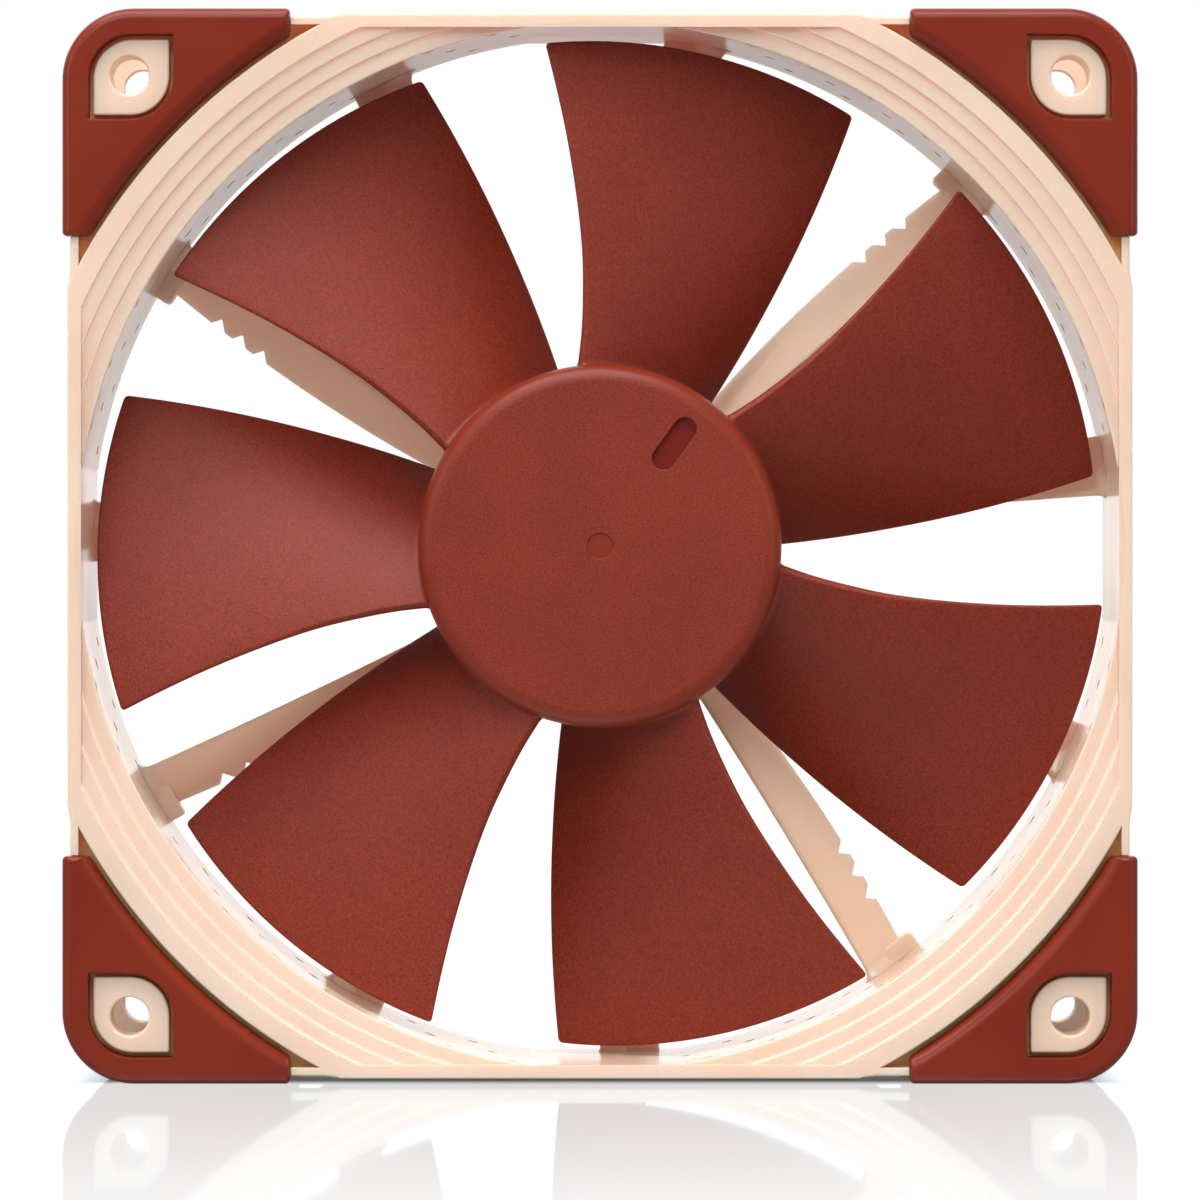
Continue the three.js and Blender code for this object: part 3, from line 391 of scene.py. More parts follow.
# %% [markdown]
# ## Brown impeller plastic
# The impeller is a filled polymer whose mould is spark eroded, so its faces have an even, pebbly
# grain that scatters the light: it looks soft, like fine leather. The grain is about 0.2 mm, just
# coarse enough to be seen. The hub's rounded edge is polished, and so is the floor of its recess.

# %% Brown impeller plastic
HUB_R = 20.3
HUB_TOP = 12.2


def hub_below_face(tree, place):
    """The hub's rounded edge and sides and the floors of the marks in its face."""
    away, along = from_axis(tree, place)
    below = (along, 0.05 - HUB_TOP, 0.14 - HUB_TOP, 0)
    return inside_all(tree, (below, (away, HUB_R + 0.2, HUB_R + 0.8, 1)))


def painted_shade_in_hub_recess(tree, place):
    """The floor of the recess in the hub's face, where a darker painted shade goes."""
    away, along = from_axis(tree, place)
    return inside_all(tree, ((along, 0.3 - HUB_TOP, 0.5 - HUB_TOP, 0), (away, 17.0, 17.1, 1)))


impeller_plastic = moulded(
    "filled_polymer_brown",
    "#802A17",
    "#832C19",
    "#7C2815",
    {"size": 0.21, "depth": 0.03, "share": 0.42},
    {
        "roughness": 0.5,
        "polish": 0.12,
        "ior": 1.45,
        "specular": 0.34,
        "subsurface": 0.0,
        "depth": (1, 0.3, 0.2),
    },
    hub_below_face,
    # painted shade: the recess floor is coloured a darker red
    (("#741504", painted_shade_in_hub_recess),),
)
print("brown polymer, grain 0.21 mm")

# %% [markdown]
# ## Red-brown silicone
# The corner pads are silicone rubber from a polished mould. Rubber has no sharp highlight: its
# gloss is broad and dull, and its edges look rounder than they are. The grain is very faint.

# %% Silicone
silicone = moulded(
    "silicone_rubber_red_brown",
    "#7B230D",
    "#7F260F",
    "#76200B",
    {"size": 0.6, "depth": 0.004, "share": 0.02},
    {"roughness": 0.3, "ior": 1.41, "specular": 0.4, "subsurface": 0.0, "depth": (1, 0.4, 0.2)},
)
print("silicone, grain 0.6 mm")

# %% [markdown]
# ## Motor: metals
# Most of the motor is hidden in the hub, but each of its parts still has its real finish. Turned
# brass and ground steel carry fine rings round the axis, zinc plating has a soft spangle,
# sintered bronze is full of pores, and the core is a stack of 0.5 mm silicon-steel sheets, whose
# edges show as stripes. A metal's colour is its reflection, so it is fully metallic and keeps the
# default IOR. One helper makes them all from a pattern of height, which drives colour, gloss and
# bump together.

# %% Patterned finishes
def finish_from(name, dark, light, pattern, bump_mm, gloss, metallic, **more):
    """A finish whose colour, gloss and relief all follow one pattern, which goes from 0 to 1."""
    material, tree = new_material(name)
    place = add(tree, "ShaderNodeTexCoord")
    height = pattern(tree, place)
    shades = {0: height, 6: linear(dark), 7: linear(light)}
    shades = add(tree, "ShaderNodeMix", {"data_type": "RGBA"}, shades)
    span = {"Value": height, "To Min": gloss[0], "To Max": gloss[1]}
    rough = add(tree, "ShaderNodeMapRange", inputs=span)
    relief = {"Height": height, "Strength": 1.0, "Distance": bump_mm * MM}
    bump = add(tree, "ShaderNodeBump", inputs=relief)
    shader = add(
        tree,
        "ShaderNodeBsdfPrincipled",
        inputs={
            "Base Color": shades.outputs[2],
            "Roughness": rough.outputs[0],
            "Normal": bump.outputs[0],
            "Metallic": metallic,
            **more,
        },
    )
    add(tree, "ShaderNodeOutputMaterial", inputs={"Surface": shader.outputs[0]})
    return material


def grains(size):
    """A pattern of soft grains of this size in mm."""

    def pattern(tree, place):
        inputs = {"Vector": place.outputs["Object"], "Scale": per_mm(size), "Detail": 3}
        return add(tree, "ShaderNodeTexNoise", inputs=inputs).outputs["Fac"]

    return pattern


def pores(size):
    """A pattern of round pores of this size in mm."""

    def pattern(tree, place):
        inputs = {"Vector": place.outputs["Object"], "Scale": per_mm(size)}
        cells = add(tree, "ShaderNodeTexVoronoi", inputs=inputs)
        return ramp_between(tree, cells.outputs["Distance"], 0.1, 0.45)

    return pattern


def lines(direction, pitch, distortion=0.6):
    """Parallel lines across an axis, this far apart in mm: 20 waves fill one unit of its scale."""

    def pattern(tree, place):
        settings = {"wave_type": "BANDS", "bands_direction": direction}
        waves = per_mm(pitch) / 20 * 2 * math.pi
        inputs = {"Vector": place.outputs["Object"], "Scale": waves}
        inputs |= {"Distortion": distortion, "Detail": 2.0, "Detail Scale": 2.0}
        return add(tree, "ShaderNodeTexWave", settings, inputs).outputs["Fac"]

    return pattern


# %% Metals of the motor
METALS = {  # dark, light, pattern, relief in mm, gloss
    "zinc_plated_steel": ("#8F959B", "#B4B9BE", grains(1.6), 0.004, (0.26, 0.42)),
    "ground_shaft_steel": ("#AEB2B6", "#C9CCCF", lines("Y", 0.12), 0.001, (0.12, 0.22)),
    "turned_brass": ("#B08B46", "#D2AE68", lines("Y", 0.18), 0.002, (0.2, 0.32)),
    "sintered_bronze": ("#4E3421", "#9A6C43", pores(0.22), 0.03, (0.6, 0.38)),
    "silicon_steel_stack": ("#43474B", "#8D9297", lines("Y", 0.5, 0.1), 0.04, (0.5, 0.34)),
}
finishes = {name: finish_from(name, *look, 1.0) for name, look in METALS.items()}
print(len(finishes), "metals")

# %% [markdown]
# ## Motor: windings, magnets and board
# The coils are enamelled copper wire, 0.3 mm thick: the turns show as rounded ridges, and the
# clear enamel is a coat over the metal. Ferrite is a dark matte ceramic. The insulators, the
# washer, the seal and the thrust pad are nylon, slightly milky. The board is glass fibre under a
# green solder mask that shows its tracks as a faint relief, and the chips are black moulded epoxy
# with a dull skin. Resistors and the capacitor are fired ceramic.

# %% Other finishes of the motor
COATED = {"Coat Weight": 0.6, "Coat Roughness": 0.12}
MILKY = {"IOR": 1.53, "Subsurface Weight": 0.3, "Subsurface Scale": MM}
WIRE = ("#6E2F14", "#C9753A", lines("Y", 0.3, 0.3), 0.1, (0.42, 0.2))
finishes["enamelled_copper_wire"] = finish_from("enamelled_copper_wire", *WIRE, 1.0, **COATED)
MASK = ("#12402A", "#1E5C3B")
OTHERS = {  # the same, and what the shader gets besides
    "pressed_ferrite": ("#1F1F21", "#37373A", grains(0.25), 0.01, (0.5, 0.72), {"IOR": 2.0}),
    "natural_nylon": ("#DAD6CA", "#EDEAE0", grains(0.8), 0.006, (0.38, 0.5), MILKY),
    "green_solder_mask": (*MASK, lines("X", 1.4, 6.0), 0.03, (0.22, 0.36), {"IOR": 1.55}),
    "black_moulded_epoxy": ("#131315", "#252527", grains(0.12), 0.006, (0.42, 0.6), {"IOR": 1.55}),
    "fired_ceramic": ("#8C7458", "#A88D6E", grains(0.2), 0.004, (0.3, 0.44), {"IOR": 1.7}),
}
for name, (*look, more) in OTHERS.items():
    finishes[name] = finish_from(name, *look, 0.0, **more)
print(len(finishes), "finishes")

# %% Giving the motor's parts their finishes
FINISH_OF = {
    "zinc_plated_steel": ["rotor_yoke"],
    "ground_shaft_steel": ["shaft"],
    "turned_brass": ["shaft_boss", "bearing_shell"],
    "sintered_bronze": ["bearing_sleeve"],
    "silicon_steel_stack": ["stator_core"],
    "enamelled_copper_wire": ["coil_1", "coil_2", "coil_3", "coil_4"],
    "pressed_ferrite": ["rotor_magnet", "stabilising_magnet"],
    "natural_nylon": ["thrust_pad", "retaining_washer", "oil_seal"]
    + ["front_insulator", "rear_insulator"],
    "green_solder_mask": ["circuit_board"],
    "black_moulded_epoxy": ["driver_chip", "hall_sensor"],
    "fired_ceramic": ["smoothing_capacitor", "resistor_1", "resistor_2"],
}
for name, nodes in FINISH_OF.items():
    for node in nodes:
        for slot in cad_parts[node].material_slots:
            slot.material = finishes[name]
print(sum(len(nodes) for nodes in FINISH_OF.values()), "parts of the motor have their finishes")

# %% [markdown]
# ## How a piece is modelled
# Each piece is modelled lying on its back, with the fan's axis upright along Z and one unit for
# one millimetre, because round and repeated shapes are easiest there. The last step stands it up,
# makes it metres, and leaves its object at the origin. A few small helpers do what a hand would
# do with the menus: pick an object, join or cut it with another, and turn a profile on a lathe.

# %% Modelling helpers
def pick(*objects):
    """Selects these objects and nothing else, the first one active."""
    if bpy.context.object and bpy.context.object.mode != "OBJECT":
        bpy.ops.object.mode_set(mode="OBJECT")
    bpy.ops.object.select_all(action="DESELECT")
    for o in objects:
        o.select_set(True)
    bpy.context.view_layer.objects.active = objects[0]


def settle(o):
    """Puts an object's place, turn and size into its mesh."""
    pick(o)
    bpy.ops.object.transform_apply(location=True, rotation=True, scale=True)
    return o


def block(name, low, high):
    """A block between two corners."""
    middle = [(a + b) / 2 for a, b in zip(low, high)]
    bpy.ops.mesh.primitive_cube_add(size=1, location=middle)
    o = bpy.context.object
    o.name = name
    o.scale = [b - a for a, b in zip(low, high)]
    return settle(o)


def rod(name, radius, low, high, sides):
    """A round rod on the axis."""
    spot = (0, 0, (low + high) / 2)
    size = {"radius": radius, "depth": high - low}
    bpy.ops.mesh.primitive_cylinder_add(vertices=sides, location=spot, **size)
    o = bpy.context.object
    o.name = name
    return settle(o)


def turned_copies(o, turns):
    """Copies of an object turned about the axis, in degrees. The first model is used up."""
    made = []
    for i, turn in enumerate(turns):
        one = o.copy()
        one.data = o.data.copy()
        one.name = f"{o.name}_{i}"
        one.data.transform(Matrix.Rotation(math.radians(turn), 4, "Z"))
        bpy.context.scene.collection.objects.link(one)
        made.append(one)
    bpy.data.objects.remove(o)
    return made


def with_modifier(o, kind, **settings):
    """Adds a modifier, sets it and applies it."""
    pick(o)
    m = o.modifiers.new(kind.lower(), kind)
    for name, value in settings.items():
        setattr(m, name, value)
    bpy.ops.object.modifier_apply(modifier=m.name)
    return o


def combine(o, tools, operation):
    """Combines a closed solid with others, which are used up."""
    for tool in tools:
        with_modifier(o, "BOOLEAN", operation=operation, solver="MANIFOLD", object=tool)
        bpy.data.objects.remove(tool)
    return o


def join(o, *tools):
    return combine(o, tools, "UNION")


def cut(o, *tools):
    return combine(o, tools, "DIFFERENCE")


def face_outwards():
    """In edit mode, turns all the faces of a closed solid outwards."""
    bpy.ops.mesh.select_all(action="SELECT")
    bpy.ops.mesh.normals_make_consistent(inside=False)
    bpy.ops.object.mode_set(mode="OBJECT")


def select_edges(o, wanted):
    """Goes into edit mode with the edges selected for which wanted(one end, other end) is true."""
    pick(o)
    bpy.ops.object.mode_set(mode="EDIT")
    bpy.ops.mesh.select_mode(type="EDGE")
    bpy.ops.mesh.select_all(action="DESELECT")
    bpy.ops.object.mode_set(mode="OBJECT")
    points = o.data.vertices
    count = 0
    for e in o.data.edges:
        a, b = (points[i].co for i in e.vertices)
        e.select = bool(wanted(a, b))
        count += e.select
    bpy.ops.object.mode_set(mode="EDIT")
    return count


def bevel_edges(o, wanted, width, segments):
    """Rounds the wanted edges."""
    count = select_edges(o, wanted)
    bpy.ops.mesh.bevel(offset=width, segments=segments, affect="EDGES", clamp_overlap=True)
    bpy.ops.object.mode_set(mode="OBJECT")
    return count


def turned(name, profile, steps):
    """A closed round solid: a profile of (radius, level) points, spun about the axis."""
    mesh = bpy.data.meshes.new(name)
    points = [(radius, 0, level) for radius, level in profile]
    mesh.from_pydata(points, [(i, i + 1) for i in range(len(points) - 1)], [])
    o = bpy.data.objects.new(name, mesh)
    bpy.context.scene.collection.objects.link(o)
    pick(o)
    bpy.ops.object.mode_set(mode="EDIT")
    bpy.ops.mesh.select_all(action="SELECT")
    bpy.ops.mesh.spin(steps=steps, angle=2 * math.pi, center=(0, 0, 0), axis=(0, 0, 1))
    bpy.ops.mesh.select_all(action="SELECT")
    bpy.ops.mesh.remove_doubles(threshold=1e-4)
    face_outwards()
    return o


def cut_flat(o, half):
    """Cuts a round solid flat on four sides, this far from the axis."""
    pick(o)
    bpy.ops.object.mode_set(mode="EDIT")
    for side in ((1, 0, 0), (-1, 0, 0), (0, 1, 0), (0, -1, 0)):
        bpy.ops.mesh.select_all(action="SELECT")
        spot = [half * c for c in side]
        bpy.ops.mesh.bisect(plane_co=spot, plane_no=side, use_fill=True, clear_outer=True)
    face_outwards()


def flare(o, middle, steps):
    """Raises a cutter's top face in steps of (rise, growth in x, growth in y) about its middle."""
    select_edges(o, lambda a, b: False)
    bpy.ops.mesh.select_mode(type="FACE")
    bpy.ops.object.mode_set(mode="OBJECT")
    for face in o.data.polygons:
        face.select = face.normal.z > 0.9
    bpy.ops.object.mode_set(mode="EDIT")
    for rise, grow_x, grow_y in steps:
        bpy.ops.mesh.extrude_region_move(TRANSFORM_OT_translate={"value": (0, 0, rise)})
        bpy.ops.transform.resize(value=(grow_x, grow_y, 1), center_override=(*middle, 0))
    bpy.ops.object.mode_set(mode="OBJECT")


def arc(centre, radius, start, end, steps):
    """Points of a profile's rounded corner, from one direction in degrees to another."""
    points = []
    for i in range(steps + 1):
        turn = math.radians(start + (end - start) * i / steps)
        points.append((centre[0] + radius * math.cos(turn), centre[1] + radius * math.sin(turn)))
    return points


def smooth(o, angle=32):
    """Smooth shading with its sharp edges kept, and flat faces that stay flat."""
    pick(o)
    bpy.ops.object.shade_smooth_by_angle(angle=math.radians(angle))
    return with_modifier(o, "WEIGHTED_NORMAL", keep_sharp=True, weight=70)


STAND_UP = Matrix.Rotation(math.radians(90), 4, "X") @ Matrix.Scale(MM, 4)


def finish_piece(o, name, material, body, slot, *nodes):
    """Stands a piece up in metres, gives it its finish, and hands it to its body."""
    o.name = name
    o.data.name = name
    o.data.transform(STAND_UP)
    o.data.materials.clear()
    o.data.materials.append(material)
    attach(o, body)
    if nodes:
        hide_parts(*nodes)
    print(name, len(o.data.polygons), "faces")
    return o


# %% [markdown]
# ## Frame: the shroud
# The frame is one moulding. Its middle is a drum that is cut flat on four sides, 118.8 mm across.
# A cylinder gets those flats from four bisecting planes, and its rims are rounded by 0.2 mm as
# the mould rounds them.

# %% The drum with four flats
RIM_FRONT, RIM_REAR = 11.7, -11.7
SIDE_HALF = 59.4
SHROUD_R = 66.1
ROUND_STEPS = 288
drum = rod("drum", SHROUD_R, RIM_REAR, RIM_FRONT, ROUND_STEPS)
cut_flat(drum, SIDE_HALF)


def on_a_rim(a, b):
    return abs(abs(a.z) - RIM_FRONT) < 1e-3 and abs(a.z - b.z) < 1e-3


print("rim edges rounded:", bevel_edges(drum, on_a_rim, 0.2, 3))

# %% [markdown]
# ## Frame: corner plates and side strips
# Each corner has a front and a rear plate that the screws go through. Thin strips along the sides
# join them. In front the strips stand up flush with the rim, and leave a small pocket beside each
# pad. At the rear they are as low as the plates, with open pockets. Rounded square plates are cut
# by long blocks, which leaves plates and strips at once.

# %% Plates and strips
STRIP_HALF = 59.1
STRIP_WALL = 0.9
PLATE_CORNER_R = 7.1
PAD_REACH = 34.6
FRONT_PLATE = (6.0, 9.2)
REAR_PLATE = (-10.0, -8.3)


def is_upright(a, b):
    return abs(a.x - b.x) < 1e-3 and abs(a.y - b.y) < 1e-3


def is_level(a, b):
    return abs(a.z - b.z) < 1e-3


def rounded_plate(name, low, high, edge):
    """A square plate with rounded corners and soft edges."""
    plate = block(name, (-STRIP_HALF, -STRIP_HALF, low), (STRIP_HALF, STRIP_HALF, high))
    bevel_edges(plate, is_upright, PLATE_CORNER_R, 16)
    bevel_edges(plate, is_level, edge, 2)
    return plate


def between_pads(reach, half, low, high):
    """Two crossed blocks that reach across the fan between the pads' legs."""
    across = block("across", (-reach, -half, low), (reach, half, high))
    upright = block("upright", (-half, -reach, low), (half, reach, high))
    return join(across, upright)


inner = STRIP_HALF - STRIP_WALL
rear_plates = rounded_plate("rear_plates", *REAR_PLATE, 0.2)
cut(rear_plates, between_pads(PAD_REACH, inner, REAR_PLATE[0] - 1, REAR_PLATE[1] + 1))
strips = rounded_plate("strips", FRONT_PLATE[0] + 0.5, RIM_FRONT, 0.3)
cut(strips, block("middle", (-inner, -inner, FRONT_PLATE[0]), (inner, inner, RIM_FRONT + 1)))
beside_pads = between_pads(PAD_REACH - 0.1, STRIP_HALF + 1, FRONT_PLATE[0], RIM_FRONT + 1)
combine(strips, [beside_pads], "INTERSECT")
join(drum, rounded_plate("front_plates", *FRONT_PLATE, 0.2), strips, rear_plates)
print("frame so far:", len(drum.data.polygons), "faces")

# %% Where a strip runs into the side wall
# The side wall stands 0.3 mm further out than the strip, and a short slope joins them.
FOUR_CORNERS = (0, 90, 180, 270)
SLOPE_FROM, SLOPE_TO = 31.2, 28.6
low_corner = (-SLOPE_FROM, inner + 0.2, RIM_REAR + 4)
slope = block("slope", low_corner, (SLOPE_FROM, SIDE_HALF, RIM_FRONT))
bevel_edges(slope, lambda a, b: is_upright(a, b) and a.y > SIDE_HALF - 0.1, 0.3, 1)
for v in slope.data.vertices:
    if v.co.y > SIDE_HALF - 0.01:
        v.co.x = math.copysign(SLOPE_TO, v.co.x)
    elif v.co.y > SIDE_HALF - 0.35 and abs(v.co.x) > SLOPE_FROM - 0.1:
        v.co.x = math.copysign(SLOPE_TO + 2.2, v.co.x)


def on_front_outside(a, b):
    return min(a.z, b.z) > RIM_FRONT - 0.01 and min(a.y, b.y) > inner + 0.5


bevel_edges(slope, on_front_outside, 0.3, 2)
join(drum, *turned_copies(slope, FOUR_CORNERS))
print("slopes from", SLOPE_FROM, "to", SLOPE_TO, "mm")

# %% [markdown]
# ## Frame: leaf-shaped bosses
# Round each screw hole a boss stands up through the pad's window. It is a leaf: two opposite
# corners are round and two are sharp. A block gets two wide bevels and two narrow ones, and then
# a soft edge round its face. One is modelled, and turned to the other corners.

# %% Bosses
HOLE_AT = 52.5
BOSS_AT = 52.3
BOSS_HALF = 4.25
BOSS_ROUND = 4.4
BOSS_FACE = 11.5
BOSS_EDGE = 0.28


def leaf(name, half, round_radius, low, high, edge):
    """A leaf-shaped block over the corner hole, with its upper edge rounded by edge."""

    def is_sharp_corner(a, b):
        across = abs(a.x + a.y - 2 * BOSS_AT) < 1e-3 and abs(a.x - a.y) > half
        return is_upright(a, b) and across

    low_corner = (BOSS_AT - half, BOSS_AT - half, low)
    o = block(name, low_corner, (BOSS_AT + half, BOSS_AT + half, high))
    bevel_edges(o, lambda a, b: is_upright(a, b) and abs(a.x - a.y) < 1e-3, round_radius, 16)
    bevel_edges(o, is_sharp_corner, 0.3, 4)
    if edge:
        bevel_edges(o, lambda a, b: min(a.z, b.z) > high - 1e-3, edge, 3)
    return o


shape = (BOSS_HALF, BOSS_ROUND)
front_boss = leaf("front_boss", *shape, FRONT_PLATE[0] + 1.6, BOSS_FACE, BOSS_EDGE)
join(drum, *turned_copies(front_boss, FOUR_CORNERS))
rear_boss = leaf("rear_boss", *shape, -REAR_PLATE[0] - 0.85, BOSS_FACE, BOSS_EDGE)
rear_boss.data.transform(Matrix.Scale(-1, 4, (0, 0, 1)))
rear_boss.data.flip_normals()
join(drum, *turned_copies(rear_boss, FOUR_CORNERS))
print("bosses stand", BOSS_FACE - FRONT_PLATE[1], "mm over their plates")

# %% [markdown]
# ## Frame: stepped intake, bore and holes
# The intake widens in three terraces, which break up the air's flow at the wall. The bore and the
# terraces are one lathe-turned cutter, cut flat by the side walls. The cutter's inner corners are
# rounded, which rounds each terrace's edge.

# %% The bore and its terraces
OPENING_HALF = 57.9
TERRACES = 3
TERRACE_DROP = 0.45
TERRACE_EDGE = 0.24
profile = [(0, RIM_REAR - 1), (BORE_R, RIM_REAR - 1)]
for step in range(TERRACES + 1):
    radius = BORE_R + step * TERRACE_WIDTH
    level = RIM_FRONT - (TERRACES - step) * TERRACE_DROP
    corner = (radius + TERRACE_EDGE, level - TERRACE_EDGE)
    profile += arc(corner, TERRACE_EDGE, 180, 90, 4)
    if step < TERRACES:
        profile.append((radius + TERRACE_WIDTH, level + 0.1))
profile = [p for p in profile if p[1] <= RIM_FRONT + 1e-6]
profile += [(BORE_R + TERRACES * TERRACE_WIDTH + TERRACE_EDGE, RIM_FRONT + 1), (0, RIM_FRONT + 1)]
bore = turned("bore", profile, ROUND_STEPS)
cut_flat(bore, OPENING_HALF)
cut(drum, bore)
print("bore", 2 * BORE_R, "mm,", TERRACES, "terraces of", TERRACE_WIDTH, "mm")

# %% The screw holes
HOLE_R = 2.15
MOUTH = 0.3
rear_face = -BOSS_FACE
profile = [(0, rear_face - 1), (HOLE_R + MOUTH, rear_face - 1)]
profile += arc((HOLE_R + MOUTH, rear_face + MOUTH), MOUTH, 270, 180, 4)
profile += arc((HOLE_R + MOUTH, BOSS_FACE - MOUTH), MOUTH, 180, 90, 4)
profile += [(HOLE_R + MOUTH, BOSS_FACE + 1), (0, BOSS_FACE + 1)]
hole = turned("hole", profile, 64)
hole.data.transform(Matrix.Translation((HOLE_AT, HOLE_AT, 0)))
cut(drum, *turned_copies(hole, FOUR_CORNERS))
print("screw holes", 2 * HOLE_R, "mm, on a square of", 2 * HOLE_AT, "mm")

# %% The slot that the cable leaves through
SLOT_VANE_TURN = 305
SLOT_WIDTH, SLOT_DEPTH = 4.2, 2.6
FOOT_WIDTH = 6.6  # the foot of the vane that the slot stands beside
slot_turn = SLOT_VANE_TURN + math.degrees((FOOT_WIDTH + SLOT_WIDTH) / 2 / BORE_R)
low_corner = (BORE_R - 1, -SLOT_WIDTH / 2, RIM_REAR - 1)
slot = block("slot", low_corner, (SHROUD_R + 1, SLOT_WIDTH / 2, RIM_REAR + SLOT_DEPTH))
bevel_edges(slot, lambda a, b: abs(a.x - b.x) > 1 and min(a.z, b.z) > RIM_REAR, 0.5, 4)
cut(drum, *turned_copies(slot, (slot_turn,)))
print("cable slot at", round(slot_turn, 1), "degrees")

# %% [markdown]
# ## Frame: dimples in the bore
# The bore's wall carries rows of small dimples, moulded in to stir the air at the wall. Each is
# the print of a flattened ball. There are three rows of fifty, each staggered by a third of a
# pitch, and there are none where the side walls cut the bore flat.

# %% Dimples
DIMPLE_R = 0.66
DIMPLE_DEPTH = 0.5
DIMPLES_PER_ROW = 50
DIMPLE_ROWS = (8.9, 1.4, -6.1)
DIMPLE_FIRST_TURN = 1.2
bpy.ops.mesh.primitive_uv_sphere_add(segments=12, ring_count=8, radius=1)
ball = bpy.context.object
ball.name = "dimple"
ball.scale = (DIMPLE_DEPTH, DIMPLE_R, DIMPLE_R)
settle(ball)
pitch = 360 / DIMPLES_PER_ROW
round_wall_from = math.degrees(math.acos((OPENING_HALF - 0.05) / BORE_R)) + 1.0
dimples = []
for row, level in enumerate(DIMPLE_ROWS):
    for i in range(DIMPLES_PER_ROW):
        turn = DIMPLE_FIRST_TURN + pitch * (i - row / len(DIMPLE_ROWS))
        from_side = abs((turn + 45) % 90 - 45)
        if from_side < round_wall_from:
            continue
        one = ball.data.copy()
        turning = Matrix.Rotation(math.radians(turn), 4, "Z")
        one.transform(turning @ Matrix.Translation((BORE_R, 0, level)))
        holder = bpy.data.objects.new("dimple_print", one)
        bpy.context.scene.collection.objects.link(holder)
        dimples.append(holder)
bpy.data.objects.remove(ball)
pick(*dimples)
bpy.ops.object.join()
cut(drum, bpy.context.object)
print(len(dimples), "dimples")

# %% [markdown]
# ## Blades and vanes are rolled from a rod
# A blade or a vane is a thin twisted plate with round edges. It starts as a rod with many rings.
# Each ring becomes one section, which lies on a cylinder round the axis: the rod's front half
# becomes the face towards the intake and its rear half the other face. So the plate is closed,
# its edges are round, and a fillet at its root is only a section that swells.

# %% Rolling a rod into a plate
def rolled(name, around, radii, place):
    """A rod with one ring for each radius, whose points are moved to place(radius, chord, face).
    Chord runs from 0 to 1 across the plate, and face is 1 on the intake side, -1 on the other."""
    bpy.ops.mesh.primitive_cylinder_add(vertices=around, radius=1, depth=1, end_fill_type="NGON")
    o = bpy.context.object
    o.name = name
    select_edges(o, is_upright)
    bpy.ops.mesh.subdivide(number_cuts=len(radii) - 2)
    bpy.ops.object.mode_set(mode="OBJECT")
    for v in o.data.vertices:
        ring = round((v.co.z + 0.5) * (len(radii) - 1))
        angle = math.atan2(v.co.y, v.co.x)
        chord = (1 - math.cos(angle)) / 2
        v.co = place(radii[ring], chord, 1 if angle >= -1e-6 else -1)
    pick(o)
    bpy.ops.object.mode_set(mode="EDIT")
    face_outwards()
    return o


def on_cylinder(surface, radius, chord, offset):
    """The point offset from a surface's section, square to it, where surface(radius, chord)
    gives a turn in degrees and a level."""
    step = 1e-3
    turn, level = surface(radius, chord)
    turn_0, level_0 = surface(radius, chord - step)
    turn_1, level_1 = surface(radius, chord + step)
    along = math.radians(turn_1 - turn_0) * radius
    down = level_1 - level_0
    length = math.hypot(along, down)
    angle = math.radians(turn) - offset * down / length / radius
    level += offset * along / length
    return Vector((radius * math.cos(angle), radius * math.sin(angle), level))


def section_length(surface, radius):
    """How long a section is, in mm."""
    turn_0, level_0 = surface(radius, 0)
    turn_1, level_1 = surface(radius, 1)
    return math.hypot(math.radians(turn_1 - turn_0) * radius, level_1 - level_0)


def swell(distance, fillet):
    """How far a fillet stands out at a distance from the wall that it runs up to."""
    if distance >= fillet:
        return 0.0
    left = fillet - max(distance, 0)
    return fillet - math.sqrt(fillet**2 - left**2)


def rounded(distance, radius):
    """How much of its thickness a plate has at a distance from its rounded edge."""
    if distance >= radius:
        return 1.0
    left = 1 - max(distance, 0) / radius
    return math.sqrt(max(1 - left**2, 0))


def mix(a, b, share):
    return a + (b - a) * share


print("a fillet of 1 mm stands out", round(swell(0.2, 1.0), 2), "mm at 0.2 mm from its wall")

# %% [markdown]
# ## Frame: stator vanes
# Eleven vanes carry the motor and straighten the air. They stand at uneven angles, so that they
# don't all meet a blade at once. Each is a curved plate that is flat at its front edge and steep
# at its rear one, with three notches in the rear edge and a small foot where it meets the wall.

# %% One vane
VANE_TURNS = (8.75, 44, 79, 115, 147, 178, 209, 241, 273, 305, 336)
BASE_TOP = -6.1
VANE_THICKNESS = 1.1
VANE_REAR = RIM_REAR + 0.6
VANE_ROOT_R = 19.7
FRONT_TURN = (-1.6, -3.0)  # a vane's front edge in degrees, at the base and at the wall
REAR_TURN = (7.4, 1.6)
STEEPENING = 1.8  # 1 is a flat ramp; a higher power ends steeper


def rear_turn(radius):
    return mix(*REAR_TURN, (radius - HUB_R) / (BORE_R - HUB_R))


def vane_surface(radius, chord):
    """The middle of a vane: turn in degrees and level."""
    span = (radius - VANE_ROOT_R) / (BORE_R + 0.4 - VANE_ROOT_R)
    across = 1 - max(1 - chord, 0) ** STEEPENING
    level = mix(BASE_TOP - VANE_THICKNESS / 2, VANE_REAR, chord)
    return mix(mix(*FRONT_TURN, span), rear_turn(radius), across), level


